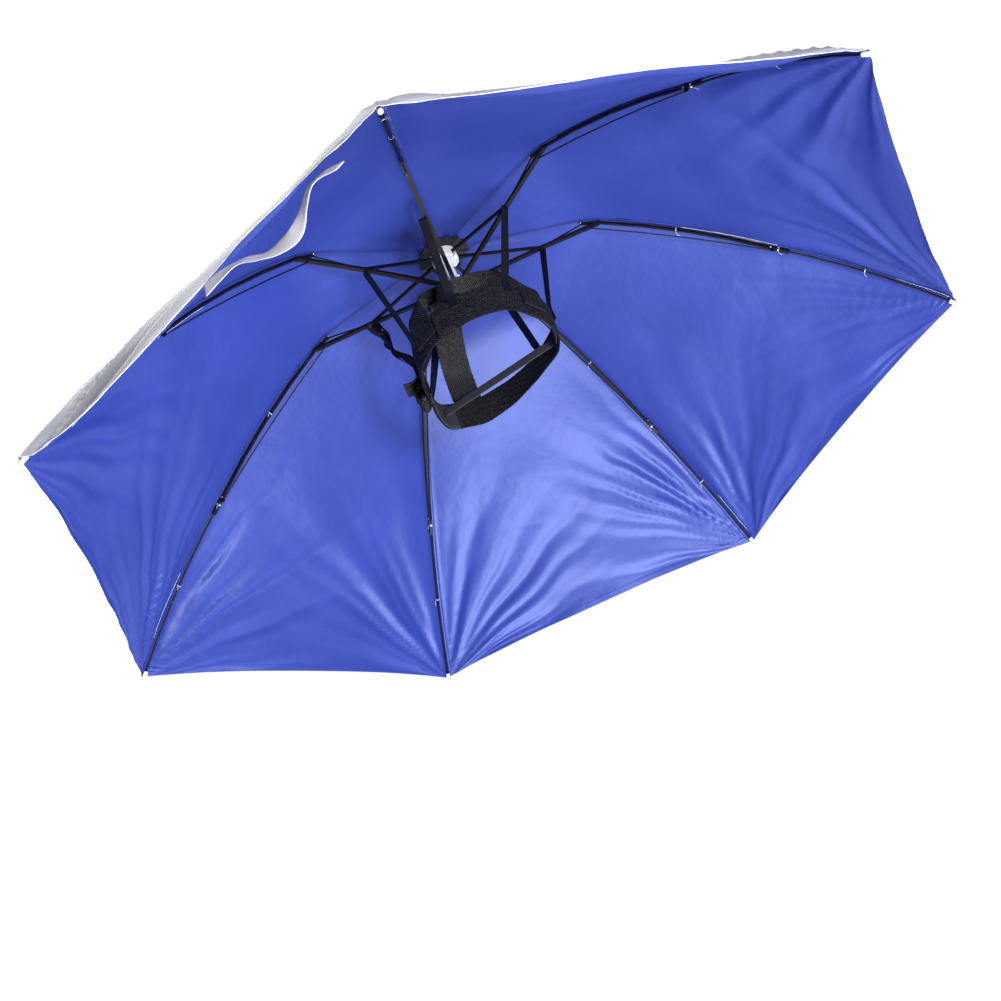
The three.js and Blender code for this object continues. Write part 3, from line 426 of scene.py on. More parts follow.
def stitch_row(centres, normals, pitch, length, diameter, lift):
    """Short thread stitches laid end to end with gaps along a run."""
    centres = np.asarray(centres, float)
    along = np.concatenate([[0], np.cumsum(np.linalg.norm(np.diff(centres, axis=0), axis=1))])
    parts = []
    for start in np.arange(pitch * 0.3, along[-1] - length, pitch):
        stops = start + length * np.array([0, 0.2, 0.8, 1])
        p = np.stack([np.interp(stops, along, centres[:, k]) for k in range(3)], axis=1)
        n = unit(np.stack([np.interp(stops, along, normals[:, k]) for k in range(3)], axis=1))
        rise = lift * np.array([-0.6, 1, 1, -0.6])[:, None]
        parts.append(round_wire(p + n * rise, diameter, 5)[:2])
    return parts


# The ribs' lines and the cloth over them

def flex(rib, radius):
    share = np.maximum(0, (radius - SLEEVE[0]) / (TIP[0] - SLEEVE[0]))
    return RIB_FLEX[rib % RIBS] * -TIP[1] * share ** 1.5


def joint(rib, place):
    return np.array([place[0], place[1] + flex(rib, place[0])])


def bowed(start, end, bow, steps):
    run = end - start
    normal = unit(np.array([-run[1], run[0]]))
    t = np.linspace(0, 1, steps + 1)[:, None]
    return start + run * t + normal * 4 * bow * t * (1 - t)


def middle_rib(rib, steps=4):
    line = bowed(joint(rib, STRUT_END), joint(rib, ELBOW), MIDDLE_BOW, steps)
    return np.vstack([joint(rib, SLEEVE), line])


def outer_rib(rib, steps=5):
    return bowed(joint(rib, ELBOW), joint(rib, TIP), OUTER_BOW, steps)


def cut_end(line, length):
    steps = np.linalg.norm(np.diff(line, axis=0), axis=1)
    along = np.concatenate([[0], np.cumsum(steps)])
    keep = along < along[-1] - length
    last = [np.interp(along[-1] - length, along, line[:, k]) for k in (0, 1)]
    return np.vstack([line[keep], last])


def line_normals(line):
    run = unit(np.gradient(line, axis=0))
    return np.stack([-run[:, 1], run[:, 0]], axis=1)


def ridge(rib):
    """The cloth's inner side over one rib, as radius and height over the hub."""
    line = cut_end(np.vstack([middle_rib(rib), outer_rib(rib)[1:]]), TIP_CAP_SHOWN)
    raised = line + line_normals(line) * RIDGE_RISE
    flat = np.array([ROSETTE_REACH, CANOPY_FLOOR])
    return np.vstack([[0.5, CANOPY_FLOOR], flat, (flat + raised[0]) / 2, raised])


def smoothstep(x):
    x = np.clip(x, 0, 1)
    return x * x * (3 - 2 * x)


RIDGE = [spline(np.hstack([r, np.zeros((len(r), 1))]), 1.0)[:, :2] for r in map(ridge, range(RIBS))]


def ridge_point(rib, length_share, pull=0.0):
    """Points of a ridge by their share of its length, pulled back by some millimetres."""
    line = RIDGE[rib % RIBS]
    along = np.concatenate([[0], np.cumsum(np.linalg.norm(np.diff(line, axis=0), axis=1))])
    at = length_share * along[-1] - pull
    return np.interp(at, along, line[:, 0]), np.interp(at, along, line[:, 1])


RIDGE_LENGTH = float(np.sum(np.linalg.norm(np.diff(RIDGE[0], axis=0), axis=1)))


def gore_surface(gore, share, v):
    """The cloth's inner side: share along the ridges from 0 to 1, v across from -1 to 1."""
    pull = RIM_SCALLOP * (1 - np.abs(v) ** 2.6) * smoothstep((share - 0.5) / 0.5)
    sides = []
    for side in (0, 1):
        r, z = ridge_point(gore + side, share, pull)
        angle = 2 * math.pi * (gore + side) / RIBS
        sides.append(np.stack([r * math.cos(angle), r * math.sin(angle), z], axis=-1))
    sag = GORE_SAG * (1 - v * v) * np.sin(math.pi * np.clip((share - 0.2) / 0.7, 0, 1)) ** 2
    droop = RIM_DROOP * (1 - v ** 4) * smoothstep((share - 0.8) / 0.2) ** 2
    middle = 2 * math.pi * (gore + 0.5) / RIBS
    slope = smoothstep((share - 0.2) / 0.8) * 0.75
    lean = -np.sin(slope)
    inward = np.stack([lean * math.cos(middle), lean * math.sin(middle), -np.cos(slope)], -1)
    w = ((v + 1) / 2)[..., None]
    return sides[0] * (1 - w) + sides[1] * w + inward * (sag + droop)[..., None]


def value_noise(x, y, seed):
    """Smooth noise from -1 to 1 over a plane, one knot per unit."""
    table = np.random.default_rng(seed).uniform(-1, 1, (64, 64))
    i, j = np.floor(x).astype(int), np.floor(y).astype(int)
    u, w = smoothstep(x - i), smoothstep(y - j)
    value = lambda a, b: table[(i + a) % 64, (j + b) % 64]
    return ((value(0, 0) * (1 - u) + value(1, 0) * u) * (1 - w)
            + (value(0, 1) * (1 - u) + value(1, 1) * u) * w)


def ray_noise(angle, seed):
    """Smooth noise over an angle, its ridges rounded and its valleys sharp."""
    wave = value_noise(angle, angle * 0 + 0.5, seed)
    return 0.5 * wave + 0.5 * (1 - 2.6 * np.abs(value_noise(angle * 0.8 + 9, angle * 0 + 3.5, seed)))


def tip_folds(along, across, seed, strength):
    """Folds that fan out of a tip into the gore; along and across are from the tip in millimetres."""
    distance = np.hypot(along, across) + 1e-6
    angle = np.arctan2(across, along) + 0.04 * value_noise(distance / 45, across / 60, seed + 9)
    height = np.zeros_like(distance)
    # How many folds in a radian, how steep they are, and how far they reach
    for folds, steep, reach in ((7, 0.42, 175), (12, 0.48, 125), (21, 0.26, 75)):
        size = steep * distance / folds * (reach / (reach + distance))
        height += 1.9 * size * ray_noise(angle * folds, seed + folds) * np.exp(-(distance / reach) ** 2)
    near_rib = 0.75 + 0.5 * np.exp(-(angle / 0.5) ** 2)
    return strength * height * near_rib


# How strongly the cloth is drawn into folds at each rib's tip: on its gore before, on its gore after
TIP_DRAW = ((0.6, 0.7), (0.9, 1.5), (1.3, 1.0), (1.1, 1.5), (1.3, 1.3), (1.3, 1.2), (1.1, 0.9))

# Long soft folds: gore, share and place across at the start and the end, width and height in millimetres
LONG_FOLDS = (
    (2, 0.985, -0.97, 0.68, 0.34, 5.0, 1.8), (2, 0.98, -0.9, 0.72, -0.1, 4.0, 1.2),
    (4, 0.985, -0.97, 0.66, -0.43, 5.0, 2.0), (4, 0.98, -0.93, 0.7, -0.12, 4.0, 1.2),
    (3, 0.985, 0.97, 0.62, 0.56, 5.0, 1.8), (3, 0.985, -0.97, 0.6, -0.72, 5.2, 3.6),
    (3, 0.985, -0.95, 0.64, -0.48, 5.4, 4.2), (3, 0.985, -0.93, 0.7, -0.22, 5.2, 3.6),
    (2, 0.985, 0.975, 0.66, 0.8, 5.0, 2.4), (2, 0.985, 0.95, 0.72, 0.58, 5.4, 2.6),
    (2, 0.985, 0.92, 0.8, 0.5, 5.0, 1.6), (5, 0.985, -0.97, 0.6, -0.62, 5.0, 1.8),
    (5, 0.98, -0.94, 0.72, -0.4, 5.0, 1.6), (4, 0.985, 0.97, 0.62, 0.68, 5.0, 2.0),
    (4, 0.98, 0.94, 0.72, 0.42, 5.0, 1.5), (1, 0.985, -0.97, 0.7, -0.5, 6.5, 2.8),
    (1, 0.98, -0.9, 0.74, -0.15, 7.0, 2.0), (1, 0.985, 0.97, 0.66, 0.76, 4.4, 1.8),
    (1, 0.985, 0.95, 0.74, 0.55, 4.4, 1.8), (6, 0.98, -0.94, 0.64, -0.5, 7.0, 1.8),
    (6, 0.98, -0.9, 0.75, -0.1, 8.0, 1.6), (5, 0.98, 0.94, 0.64, 0.6, 6.0, 1.3),
    (0, 0.97, 0.92, 0.66, 0.5, 5.0, 1.3), (0, 0.97, -0.92, 0.7, -0.5, 5.0, 1.0),
)

# The cloth just above the rim, let out or (negative) drawn in: gore, place across, spread, height in millimetres
RIM_ROLLS = (
    (6, -0.93, 0.2, -4), (6, -0.6, 0.26, -6), (6, -0.15, 0.3, -5), (6, 0.35, 0.3, -6), (6, 0.88, 0.13, 0.5),
    (0, -0.88, 0.13, 4), (0, 0.9, 0.14, 3), (0, -0.25, 0.35, -6), (0, 0.4, 0.3, -6),
)

# Rim drawn in toward the head (negative) or let out: gore, place across, spread, height in millimetres
RIM_TUCKS = ((6, -0.72, 0.34, -9), (6, -0.25, 0.3, -4), (0, 0.0, 0.6, 5))


def crease(x, y, start, end, width, lift, seed):
    """One fold along a line on the cloth, wandering a little and fading at its ends."""
    dx, dy = end[0] - start[0], end[1] - start[1]
    length = math.hypot(dx, dy)
    run = ((x - start[0]) * dx + (y - start[1]) * dy) / length
    off = ((x - start[0]) * dy - (y - start[1]) * dx) / length
    off = off + 0.6 * width * value_noise(run / 28, run * 0 + 0.5, seed)
    t = np.clip(run / length, -0.2, 1.2)
    fade = smoothstep((t + 0.02) / 0.2) * smoothstep((1.05 - t) / 0.5)
    wide = width * (0.6 + 0.8 * np.clip(t, 0, 1))
    return lift * fade * (np.exp(-(off / wide) ** 2) - 0.5 * np.exp(-((off - 1.7 * wide) / wide) ** 2))


def canopy_relief(gore, share, v):
    """How far the folds, creases and hem lift the cloth out of its smooth run, in millimetres."""
    radius = ridge_point(gore, share)[0]
    half = radius * math.sin(HALF_GORE)
    x, y = v * half, share * RIDGE_LENGTH
    from_rim = (1 - share) * RIDGE_LENGTH
    from_rib = half * (1 - np.abs(v))
    height = np.zeros_like(share)
    for side, rib in ((-1, gore), (1, (gore + 1) % RIBS)):
        across = half * (1 - side * v)
        draw = TIP_DRAW[rib][1 if side < 0 else 0]
        height += tip_folds(from_rim + 4, across, 100 + 2 * gore + (side > 0), draw)
        # Short slanting drags that the seam's stitches put in the cloth beside the rib
        drag = value_noise((y - across * 1.1) / 9, across / 40, 140 + 2 * gore + (side > 0))
        height += 0.2 * drag * np.exp(-across / 9) * smoothstep((share - 0.3) / 0.2)
    for k, (where, s0, v0, s1, v1, width, lift) in enumerate(LONG_FOLDS):
        if where == gore:
            start, end = [(v * s * RIM_HALF, s * RIDGE_LENGTH) for s, v in ((s0, v0), (s1, v1))]
            height += crease(x, y, start, end, width, lift, 400 + k)
    # Creases that folding left: one down the gore's middle, and some straight ones across it
    draw = np.random.default_rng(300 + gore)
    middle = (x - draw.uniform(-8, 8) + 3 * value_noise(y / 80, x * 0, 310 + gore)) / 1.8
    held = smoothstep((share - 0.25) / 0.2) * smoothstep((1 - share) / 0.1)
    height += 0.22 * np.exp(-middle * middle) * held
    for k in range(12):
        s0, v0 = draw.uniform(0.2, 0.95), draw.uniform(-0.8, 0.8)
        turn, length = draw.uniform(0, math.pi), draw.uniform(30, 110)
        x0, y0 = v0 * s0 * RIM_HALF, s0 * RIDGE_LENGTH
        x1, y1 = x0 + length * math.cos(turn), y0 + length * math.sin(turn)
        lift = draw.uniform(0.15, 0.4) * draw.choice([-1, 1])
        height += crease(x, y, (x0, y0), (x1, y1), draw.uniform(1.2, 2.6), lift, 500 + 20 * gore + k)
    # Broad unevenness, and fine crumple in patches
    height += 1.3 * value_noise(x / 62, y / 62, 20 + gore) * smoothstep((1 - np.abs(v)) / 0.3)
    crumple = value_noise(x / 13, y / 15, 60 + gore) + 0.6 * value_noise(x / 6, y / 7, 80 + gore)
    patchy = smoothstep(0.3 + 0.9 * value_noise(x / 60, y / 60, 90 + gore))
    height += 0.2 * crumple * patchy
    height *= smoothstep(from_rib / 10)
    for where, v0, spread, lift in RIM_ROLLS:
        if where == gore:
            roll = np.exp(-((v - v0) / spread) ** 2) * (from_rim / 19) * np.exp(1 - from_rim / 19)
            height += lift * roll * smoothstep(from_rib / 12)
    for where, v0, spread, lift in RIM_TUCKS:
        if where == gore:
            tuck = np.exp(-((v - v0) / spread) ** 2) * np.exp(-from_rim / 26)
            height += lift * tuck * smoothstep(from_rib / 12)
    # The hem: a second layer inside, drawn up by its stitches into little puckers
    pucker = value_noise(x / 5, y * 0 + 0.5, 700 + gore) + 0.7 * value_noise(x / 11, y * 0 + 0.5, 720 + gore)
    height += 0.45 * pucker * np.exp(-np.abs(from_rim - HEM_WIDTH) / 5) * smoothstep(from_rib / 8)
    height -= 0.12 * smoothstep((HEM_WIDTH + 0.6 - from_rim) / 1.2)
    return np.clip(height, -10, 16) + 0.5 + 0.5 * np.exp(-(from_rib / 3) ** 2)


# Gores whose turned edge shows its silver side, with the white line's width in millimetres
WHITE_EDGES = {0: 1.0, 1: 1.2, 5: 1.2, 6: 1.6}
HALF_STEPS = 33


def canopy():
    """The cloth: seven gores in one sheet, blue inside, silver outside, its hem turned to the inside."""
    from_rim = (20, 18, 16, 14, 12, 10.4, 9, 8.2, 7.6, 7, 6.4, 5.6, 4.6, 3.6, 2.6, 1.7, 0.8, 0)
    rim_rows = 1 - np.array(from_rim) / RIDGE_LENGTH
    rows = np.concatenate([[0], np.linspace(0.012, 0.5, 17), np.linspace(0.515, 0.957, 70), rim_rows])
    halves = 1 - (1 - np.linspace(0, 1, HALF_STEPS + 1)) ** 1.45
    v = np.concatenate([-halves[::-1], halves[1:-1]])
    grids = []
    for gore in range(RIBS):
        share, across = np.meshgrid(rows, v, indexing="ij")
        grids.append((gore_surface(gore, share, across), canopy_relief(gore, share, across)))
    base = np.concatenate([g[0] for g in grids], axis=1)
    lift = np.concatenate([g[1] for g in grids], axis=1)
    base[..., 2] += HUB_RISE
    along = np.gradient(base, axis=0)
    around = np.roll(base, -1, axis=1) - np.roll(base, 1, axis=1)
    normal = unit(np.cross(around, along))
    normal[0] = (0, 0, 1)
    normal *= np.where(normal[..., 2:3] < 0, -1, 1)
    lift[:3] = 0.3
    inner = base + normal * lift[..., None]
    outer = inner + normal * CLOTH_WALL
    n, m = inner.shape[:2]
    count = n * m
    index = np.arange(count).reshape(n, m)
    right = np.roll(index, -1, axis=1)
    quads = np.stack([index[:-1], right[:-1], right[1:], index[1:]], axis=-1)
    white = np.zeros((n - 1, m), int)
    for gore, width in WHITE_EDGES.items():
        first = gore * len(v)
        white[rows[:-1] > 1 - width / RIDGE_LENGTH - 1e-6, first:first + len(v)] = 2
    quads = quads.reshape(-1, 4)
    rim = np.stack([index[-1], right[-1], right[-1] + count, index[-1] + count], axis=-1)
    faces = [tuple(f) for f in np.concatenate([quads[:, [0, 3, 2, 1]], quads + count, rim[:, ::-1]])]
    faces += [tuple(index[0]), tuple((index[0] + count)[::-1])]
    indices = np.concatenate([white.ravel(), np.ones(len(quads), int), np.full(len(rim), 2), [0, 1]])
    piece = make("canopy_cloth", np.concatenate([inner.reshape(-1, 3), outer.reshape(-1, 3)]),
                 faces, [BLUE, SILVER, HEM], indices)
    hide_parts("canopy")
    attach(piece, BODY)
    a, b = inner[:-1], np.roll(inner, -1, axis=1)[:-1]
    c, d = np.roll(inner, -1, axis=1)[1:], inner[1:]
    area = np.linalg.norm(np.cross(b - a, c - a), axis=-1).sum() / 2
    area += np.linalg.norm(np.cross(c - a, d - a), axis=-1).sum() / 2
    return piece, inner, normal, area * MM * MM


CANOPY, CLOTH_IN, CLOTH_NORMAL, CLOTH_AREA = canopy()


# The CAD nodes that stay get their finishes

def dress(node, material, edge_mm=None, smooth_angle=50):
    """A finish for a CAD node, its edges rounded a little where a size is given."""
    piece = NODES[node]
    piece.data.materials.clear()
    piece.data.materials.append(material)
    if edge_mm:
        bevel = piece.modifiers.new("rounded_edges", "BEVEL")
        bevel.width = edge_mm * MM
        bevel.segments = 2
        bevel.limit_method = "ANGLE"
        bevel.angle_limit = math.radians(35)
    with bpy.context.temp_override(object=piece, active_object=piece, selected_objects=[piece],
                                   selected_editable_objects=[piece]):
        bpy.ops.object.shade_smooth_by_angle(angle=math.radians(smooth_angle))
    return piece


for k in range(1, RIBS + 1):
    for part in ("top_rib", "strut", "middle_rib", "outer_rib"):
        dress(f"{part}_{k}", LACQUER)
    dress(f"rib_tip_{k}", PLASTIC)
dress("hub", PLASTIC, 0.35)
dress("runner", PLASTIC, 0.35)
dress("crown_cap", PLASTIC)


# Rosette between the hub and the cloth

def rosette():
    """A scalloped cloth disc, ruffled towards its rim."""
    lobes, rings, steps = 14, 16, 168
    angle = 2 * math.pi * np.arange(steps) / steps
    share = np.linspace(0.02, 1, rings)
    r = share[:, None] * (27 + 1.5 * np.cos(lobes * angle))[None]
    ruffle = -1.4 * share[:, None] ** 3 * (1 + np.cos(lobes * angle + 0.6 * np.sin(3 * angle)))[None]
    ruffle += 0.25 * value_noise(r * np.cos(angle) / 5, r * np.sin(angle) / 5, 11) * share[:, None]
    z = HUB_RISE + HUB_TOP + 0.7 + ruffle * smoothstep((r - 15) / 8)
    under = np.stack([r * np.cos(angle), r * np.sin(angle), z], axis=-1)
    over = under + np.array([0, 0, 0.45])
    index = np.arange(rings * steps).reshape(rings, steps)
    right = np.roll(index, -1, axis=1)
    quads = np.stack([index[:-1], right[:-1], right[1:], index[1:]], axis=-1).reshape(-1, 4)
    rim = np.stack([index[-1], right[-1], right[-1] + index.size, index[-1] + index.size], axis=-1)
    faces = [tuple(f) for f in np.concatenate([quads[:, ::-1], quads + index.size, rim])]
    faces += [tuple(index[0]), tuple((index[0] + index.size)[::-1])]
    vertices = np.concatenate([under.reshape(-1, 3), over.reshape(-1, 3)])
    piece = make("rosette_cloth", vertices, faces, [ROSETTE])
    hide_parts("rosette")
    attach(piece, BODY)
    return piece


rosette()


# Head harness

# The head band seen from above: angle from the front in degrees, radius in millimetres, and how far its
# upper edge leans out, in degrees
BAND_ROWS = (
    (0, 72.8, 0), (30, 74.4, 2), (60, 72, 4), (92, 74.4, 6), (120, 76, 12), (143, 73.6, 18),
    (165, 78.4, 14), (185, 87.2, 6), (205, 95.2, 2), (220, 100.8, 0), (233, 90.4, 0),
    (252, 74.4, -4), (278, 70.4, -4), (306, 75.2, 0), (335, 75.2, 0),
)


def band_line():
    """Closed run of the head band as points, outward directions and lean in degrees."""
    angles = np.radians([row[0] for row in BAND_ROWS])
    radii = np.array([row[1] for row in BAND_ROWS])
    lean = np.array([row[2] for row in BAND_ROWS])
    rows = np.stack([radii * np.cos(angles), radii * np.sin(angles), 0 * radii, lean], axis=1)
    many = np.vstack([rows[-4:], rows, rows[:5]])
    fine = spline(many, 2.0)
    turn = np.unwrap(np.arctan2(fine[:, 1], fine[:, 0]))
    start = np.searchsorted(turn, 0)
    end = np.searchsorted(turn, 2 * math.pi)
    fine = fine[start:end]
    centres = fine[:, :3].copy()
    centres[:, 2] = -BAND_DEPTH + BAND_TILT * centres[:, 0] / BAND_RADIUS
    run = unit(np.roll(centres, -1, 0) - np.roll(centres, 1, 0))
    out = unit(np.stack([run[:, 1], -run[:, 0], 0 * run[:, 0]], axis=1))
    return centres, out, fine[:, 3]


BAND_AT, BAND_OUT, BAND_LEAN = band_line()


def band_seat(degrees):
    """The band's middle, outward direction and run at an angle from the front."""
    facing = np.array([math.cos(math.radians(degrees)), math.sin(math.radians(degrees)), 0])
    k = int(np.argmax(unit(BAND_AT * [1, 1, 0]) @ facing))
    out = BAND_OUT[k]
    return BAND_AT[k], out, np.array([-out[1], out[0], 0])


def woven_section(width, wall, pitch=0.85):
    """A webbing's section, finely divided across."""
    w, h = width / 2, wall / 2
    xs = np.linspace(-w + h, w - h, int(width / pitch) + 1)
    edge = np.array([[w - 0.35 * h, 0.72 * h], [w, 0], [w - 0.35 * h, -0.72 * h]])
    top = np.stack([xs, np.full_like(xs, h)], axis=1)
    return np.vstack([top, edge, top[::-1] * [1, -1], edge[::-1] * [-1, 1]])


def woven(name, centres, across, up, width, wall, material, closed=False, lift=0.42):
    """Coarse webbing along a run: over-and-under threads raised in its two faces, its edges corded."""
    section = woven_section(width, wall)
    vertices, faces, uv = tube_of(section, centres, across, up, closed=closed)
    m, n = len(section), len(centres)
    # The real threads are about 1 mm apart; they are drawn a little coarser to hold in the picture
    p = np.tile(section[:, 0], n) / THREAD_ACROSS
    q = uv[:, 1] / THREAD_ALONG
    row = np.floor(p)
    bumps = np.abs(np.sin(math.pi * p)) ** 0.7 * np.abs(np.sin(math.pi * (q + 0.5 * (row % 2)))) ** 0.7
    face_side = np.sign(np.tile(section[:, 1], n))
    corded = np.where(np.abs(np.tile(section[:, 0], n)) > width / 2 - wall, 0.6, 1)
    rise = lift * (2 * bumps - 1) * face_side * corded
    rise += 0.1 * value_noise(p / 3, q / 3, 77)
    vertices = vertices + np.repeat(up, m, axis=0) * rise[:, None]
    place = np.tile(section[:, 0], n)
    edge_wave = 0.25 * np.sin(math.pi * q) * np.clip((np.abs(place) - width / 2 + 1.5) / 1.5, 0, 1)
    vertices += np.repeat(across, m, axis=0) * (edge_wave * np.sign(place))[:, None]
    return make(name, vertices, faces, [material], uv=uv)


THREAD_ACROSS = 1.8
THREAD_ALONG = 2.4


def woven_strap(name, rows, width, wall, material, ripple=0.0, seed=0):
    """Webbing through rows of x, y, z and the width's direction."""
    fine = spline(rows, 0.8)
    centres, across = fine[:, :3], unit(fine[:, 3:6])
    _, across, up = directions(centres, across)
    if ripple:
        draw = np.random.default_rng(seed)
        t = np.linspace(0, 1, len(centres))
        waves = sum(np.sin(2 * math.pi * (f * t + draw.random())) / f for f in (2, 3, 5))
        centres = centres + up * (ripple * waves * np.minimum(1, np.minimum(t, 1 - t) * 8))[:, None]
    return woven(name, centres, across, up, width, wall, material)


def head_band():
    """Coarse webbing in a ring, standing on edge, its height and lean wandering a little."""
    fine = np.concatenate([BAND_AT, BAND_OUT, BAND_LEAN[:, None]], axis=1)
    fine = np.vstack([fine, fine[:1]])
    along = np.concatenate([[0], np.cumsum(np.linalg.norm(np.diff(fine[:, :3], axis=0), axis=1))])
    at = np.linspace(0, along[-1], int(along[-1] / 0.85), endpoint=False)
    fine = np.stack([np.interp(at, along, fine[:, k]) for k in range(7)], axis=1)
    lean = np.radians(fine[:, 6:7])
    out = unit(fine[:, 3:6])
    width = np.cos(lean) * [0, 0, 1] + np.sin(lean) * out
    up = np.cos(lean) * out - np.sin(lean) * np.array([0, 0, 1])
    t = 2 * math.pi * np.arange(len(fine)) / len(fine)
    wander = 1.1 * np.sin(3 * t + 1) + 0.8 * np.sin(7 * t) + 0.5 * np.sin(12 * t + 2)
    centres = fine[:, :3] + np.array([0, 0, 1]) * wander[:, None]
    piece = woven("head_band_webbing", centres, width, up, BAND_WIDTH, 1.7, WEBBING, closed=True)
    return finish_soft(piece, "head_band")


def finish_soft(piece, node):
    if node:
        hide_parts(node)
    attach(piece, BODY)
    return piece


head_band()

# Straps as the solids lie: x, y, z and the width's direction
FRONT_STRAP = (
    (-88.6, -38.8, -63.3, 0.15, -0.99, 0), (-88.65, -38.85, -50.75, 0.15, -0.99, 0),
    (-88.7, -38.9, -38.2, 0.15, -0.99, 0), (-88.1, -38.8, -33.4, 0.15, -0.99, -0),
    (-80.3, -37.6, -12.6, 0.15, -0.99, -0), (-67.7, -35.7, -4.2, 0.15, -0.99, -0),
    (-52.1, -33.3, -0.4, 0.15, -0.99, 0), (-33.3, -30.4, 0.2, 0.15, -0.99, 0),
    (-9.9, -26.9, -1.8, 0.15, -0.99, 0), (17.2, -22.7, -4.7, 0.15, -0.99, 0),
    (37.2, -19.7, -8.6, 0.15, -0.99, 0), (52.1, -17.4, -14.2, 0.15, -0.99, -0.01),
    (63.1, -15.8, -21.6, 0.09, -0.99, -0.07), (68.3, -15, -27.2, -0.04, -0.99, -0.12),
    (68.9, -14.9, -30.2, -0.12, -0.99, 0.02), (68.8, -14.9, -42.8, -0.12, -0.99, 0.01),
    (68.7, -14.9, -55.4, -0.13, -0.99, 0),
)
SIDE_STRAP = (
    (60.1, -48.7, -56.1, 0.63, 0.78, 0), (60.1, -48.7, -43.45, 0.63, 0.78, 0),
    (60.1, -48.7, -30.8, 0.63, 0.78, 0), (60.3, -48.9, -25.8, 0.65, 0.76, 0.02),
    (59.6, -47.9, -13.8, 0.83, 0.55, 0.03), (51.7, -37.1, -4.8, 0.83, 0.53, 0.19),
    (39.3, -22.1, 3.5, 0.83, 0.51, 0.21), (31.4, -8.3, 8.7, 0.91, 0.3, 0.27),
    (28.5, 5.9, 8.9, 0.91, 0.11, 0.39), (29.8, 19.7, 4.3, 0.87, 0.02, 0.49),
    (33.8, 31.4, -3.1, 0.86, 0.07, 0.5), (37.5, 41.5, -11.7, 0.89, 0.06, 0.45),
    (40, 49.6, -18.2, 0.99, -0.08, 0.11), (40.4, 60.3, -27.3, 0.93, -0.26, -0.26),
    (40.3, 62.4, -31.7, 0.86, -0.52, 0.03), (40.3, 62.3, -44.35, 0.86, -0.52, 0.01),
    (40.3, 62.2, -57, 0.86, -0.52, 0),
)
# The last number turns the tape's face: 0 shows its edge to the front, 90 its full width
CLOSURE_STRAP = (
    (385.3, -169.7, -172.0, 35), (392.3, -155.1, -171.8, 28), (402.2, -134.9, -176.0, 10),
    (410.3, -118.4, -187.0, 14), (418.5, -102.0, -193.4, 38), (425.6, -88.1, -194.0, 50),
    (431.6, -76.4, -182.4, 20), (436.5, -67.5, -172.5, 12), (442.5, -57.2, -171.5, 10),
    (452.0, -40.0, -179.0, 14),
)
FRONT_SIGHT = np.array([-0.745, -0.1, 0.66])
FRONT_SIDEWAYS = np.array([-0.217, 0.914, -0.344])
SIDE_ELASTIC = ((-70, -66.5, -55.5, 0, 0, 1), (-51.2, -0.1, -54.6, 0, 0, 1), (-32.4, 66.3, -53.7, 0, 0, 1))
BAND_ADJUSTER = (
    (-25.9, -68.9, -61.8, 1, 0.06, 0), (-25.9, -68.9, -48, 1, 0.06, 0), (-25.9, -69.1, -36, 1, 0.06, 0),
    (-25.8, -71.2, -34.2, 1, 0.06, 0), (-25.7, -73.6, -35, 1, 0.06, 0), (-25.2, -81.5, -40.6, 1, 0.06, 0),
    (-24.7, -91.4, -40, 1, 0.06, 0),
)


def turned_rows(rows):
    """Strap rows from points whose face is turned by an angle about the run."""
    points = np.array([row[:3] for row in rows])
    angle = np.radians([row[3] for row in rows])[:, None]
    run = unit(np.gradient(points, axis=0))
    edge_on = unit(FRONT_SIGHT - run * (run @ FRONT_SIGHT)[:, None])
    face_on = np.cross(run, edge_on)
    return np.hstack([points, edge_on * np.cos(angle) + face_on * np.sin(angle)])


front = woven_strap("crown_strap_front_webbing", FRONT_STRAP, STRAP_WIDTH, 1.4, WEBBING, 0.4, 3)
finish_soft(front, "crown_strap_front")
side = woven_strap("crown_strap_side_webbing", SIDE_STRAP, STRAP_WIDTH, 1.4, WEBBING, 0.3, 5)
finish_soft(side, "crown_strap_side")
elastic, *_ = strap("side_elastic_band", SIDE_ELASTIC, 9, 0.9, ELASTIC, 3.0)
finish_soft(elastic, "side_elastic")
adjuster = woven_strap("band_adjuster_webbing", BAND_ADJUSTER, 24, 1.3, WEBBING)
finish_soft(adjuster, "band_adjuster")
closure, *_ = strap("closure_strap_tape", turned_rows(CLOSURE_STRAP), 13, 0.8, WHITE_TAPE, 1.5)
finish_soft(closure, "closure_strap")


PATCH_ANGLE = -20


def patch():
    """The doubled square of webbing on the band's front, box-stitched."""
    centre, out, run = band_seat(PATCH_ANGLE)
    centre = centre + out * 2.4 + np.array([0, 0, -4.5])
    rows = [np.concatenate([centre + run * x, [0, 0, 1]]) for x in (-9.5, -5, 0, 5, 9.5)]
    piece = woven_strap("strap_patch_webbing", rows, 25, 1.3, WEBBING)
    return finish_soft(piece, "strap_patch")


patch()

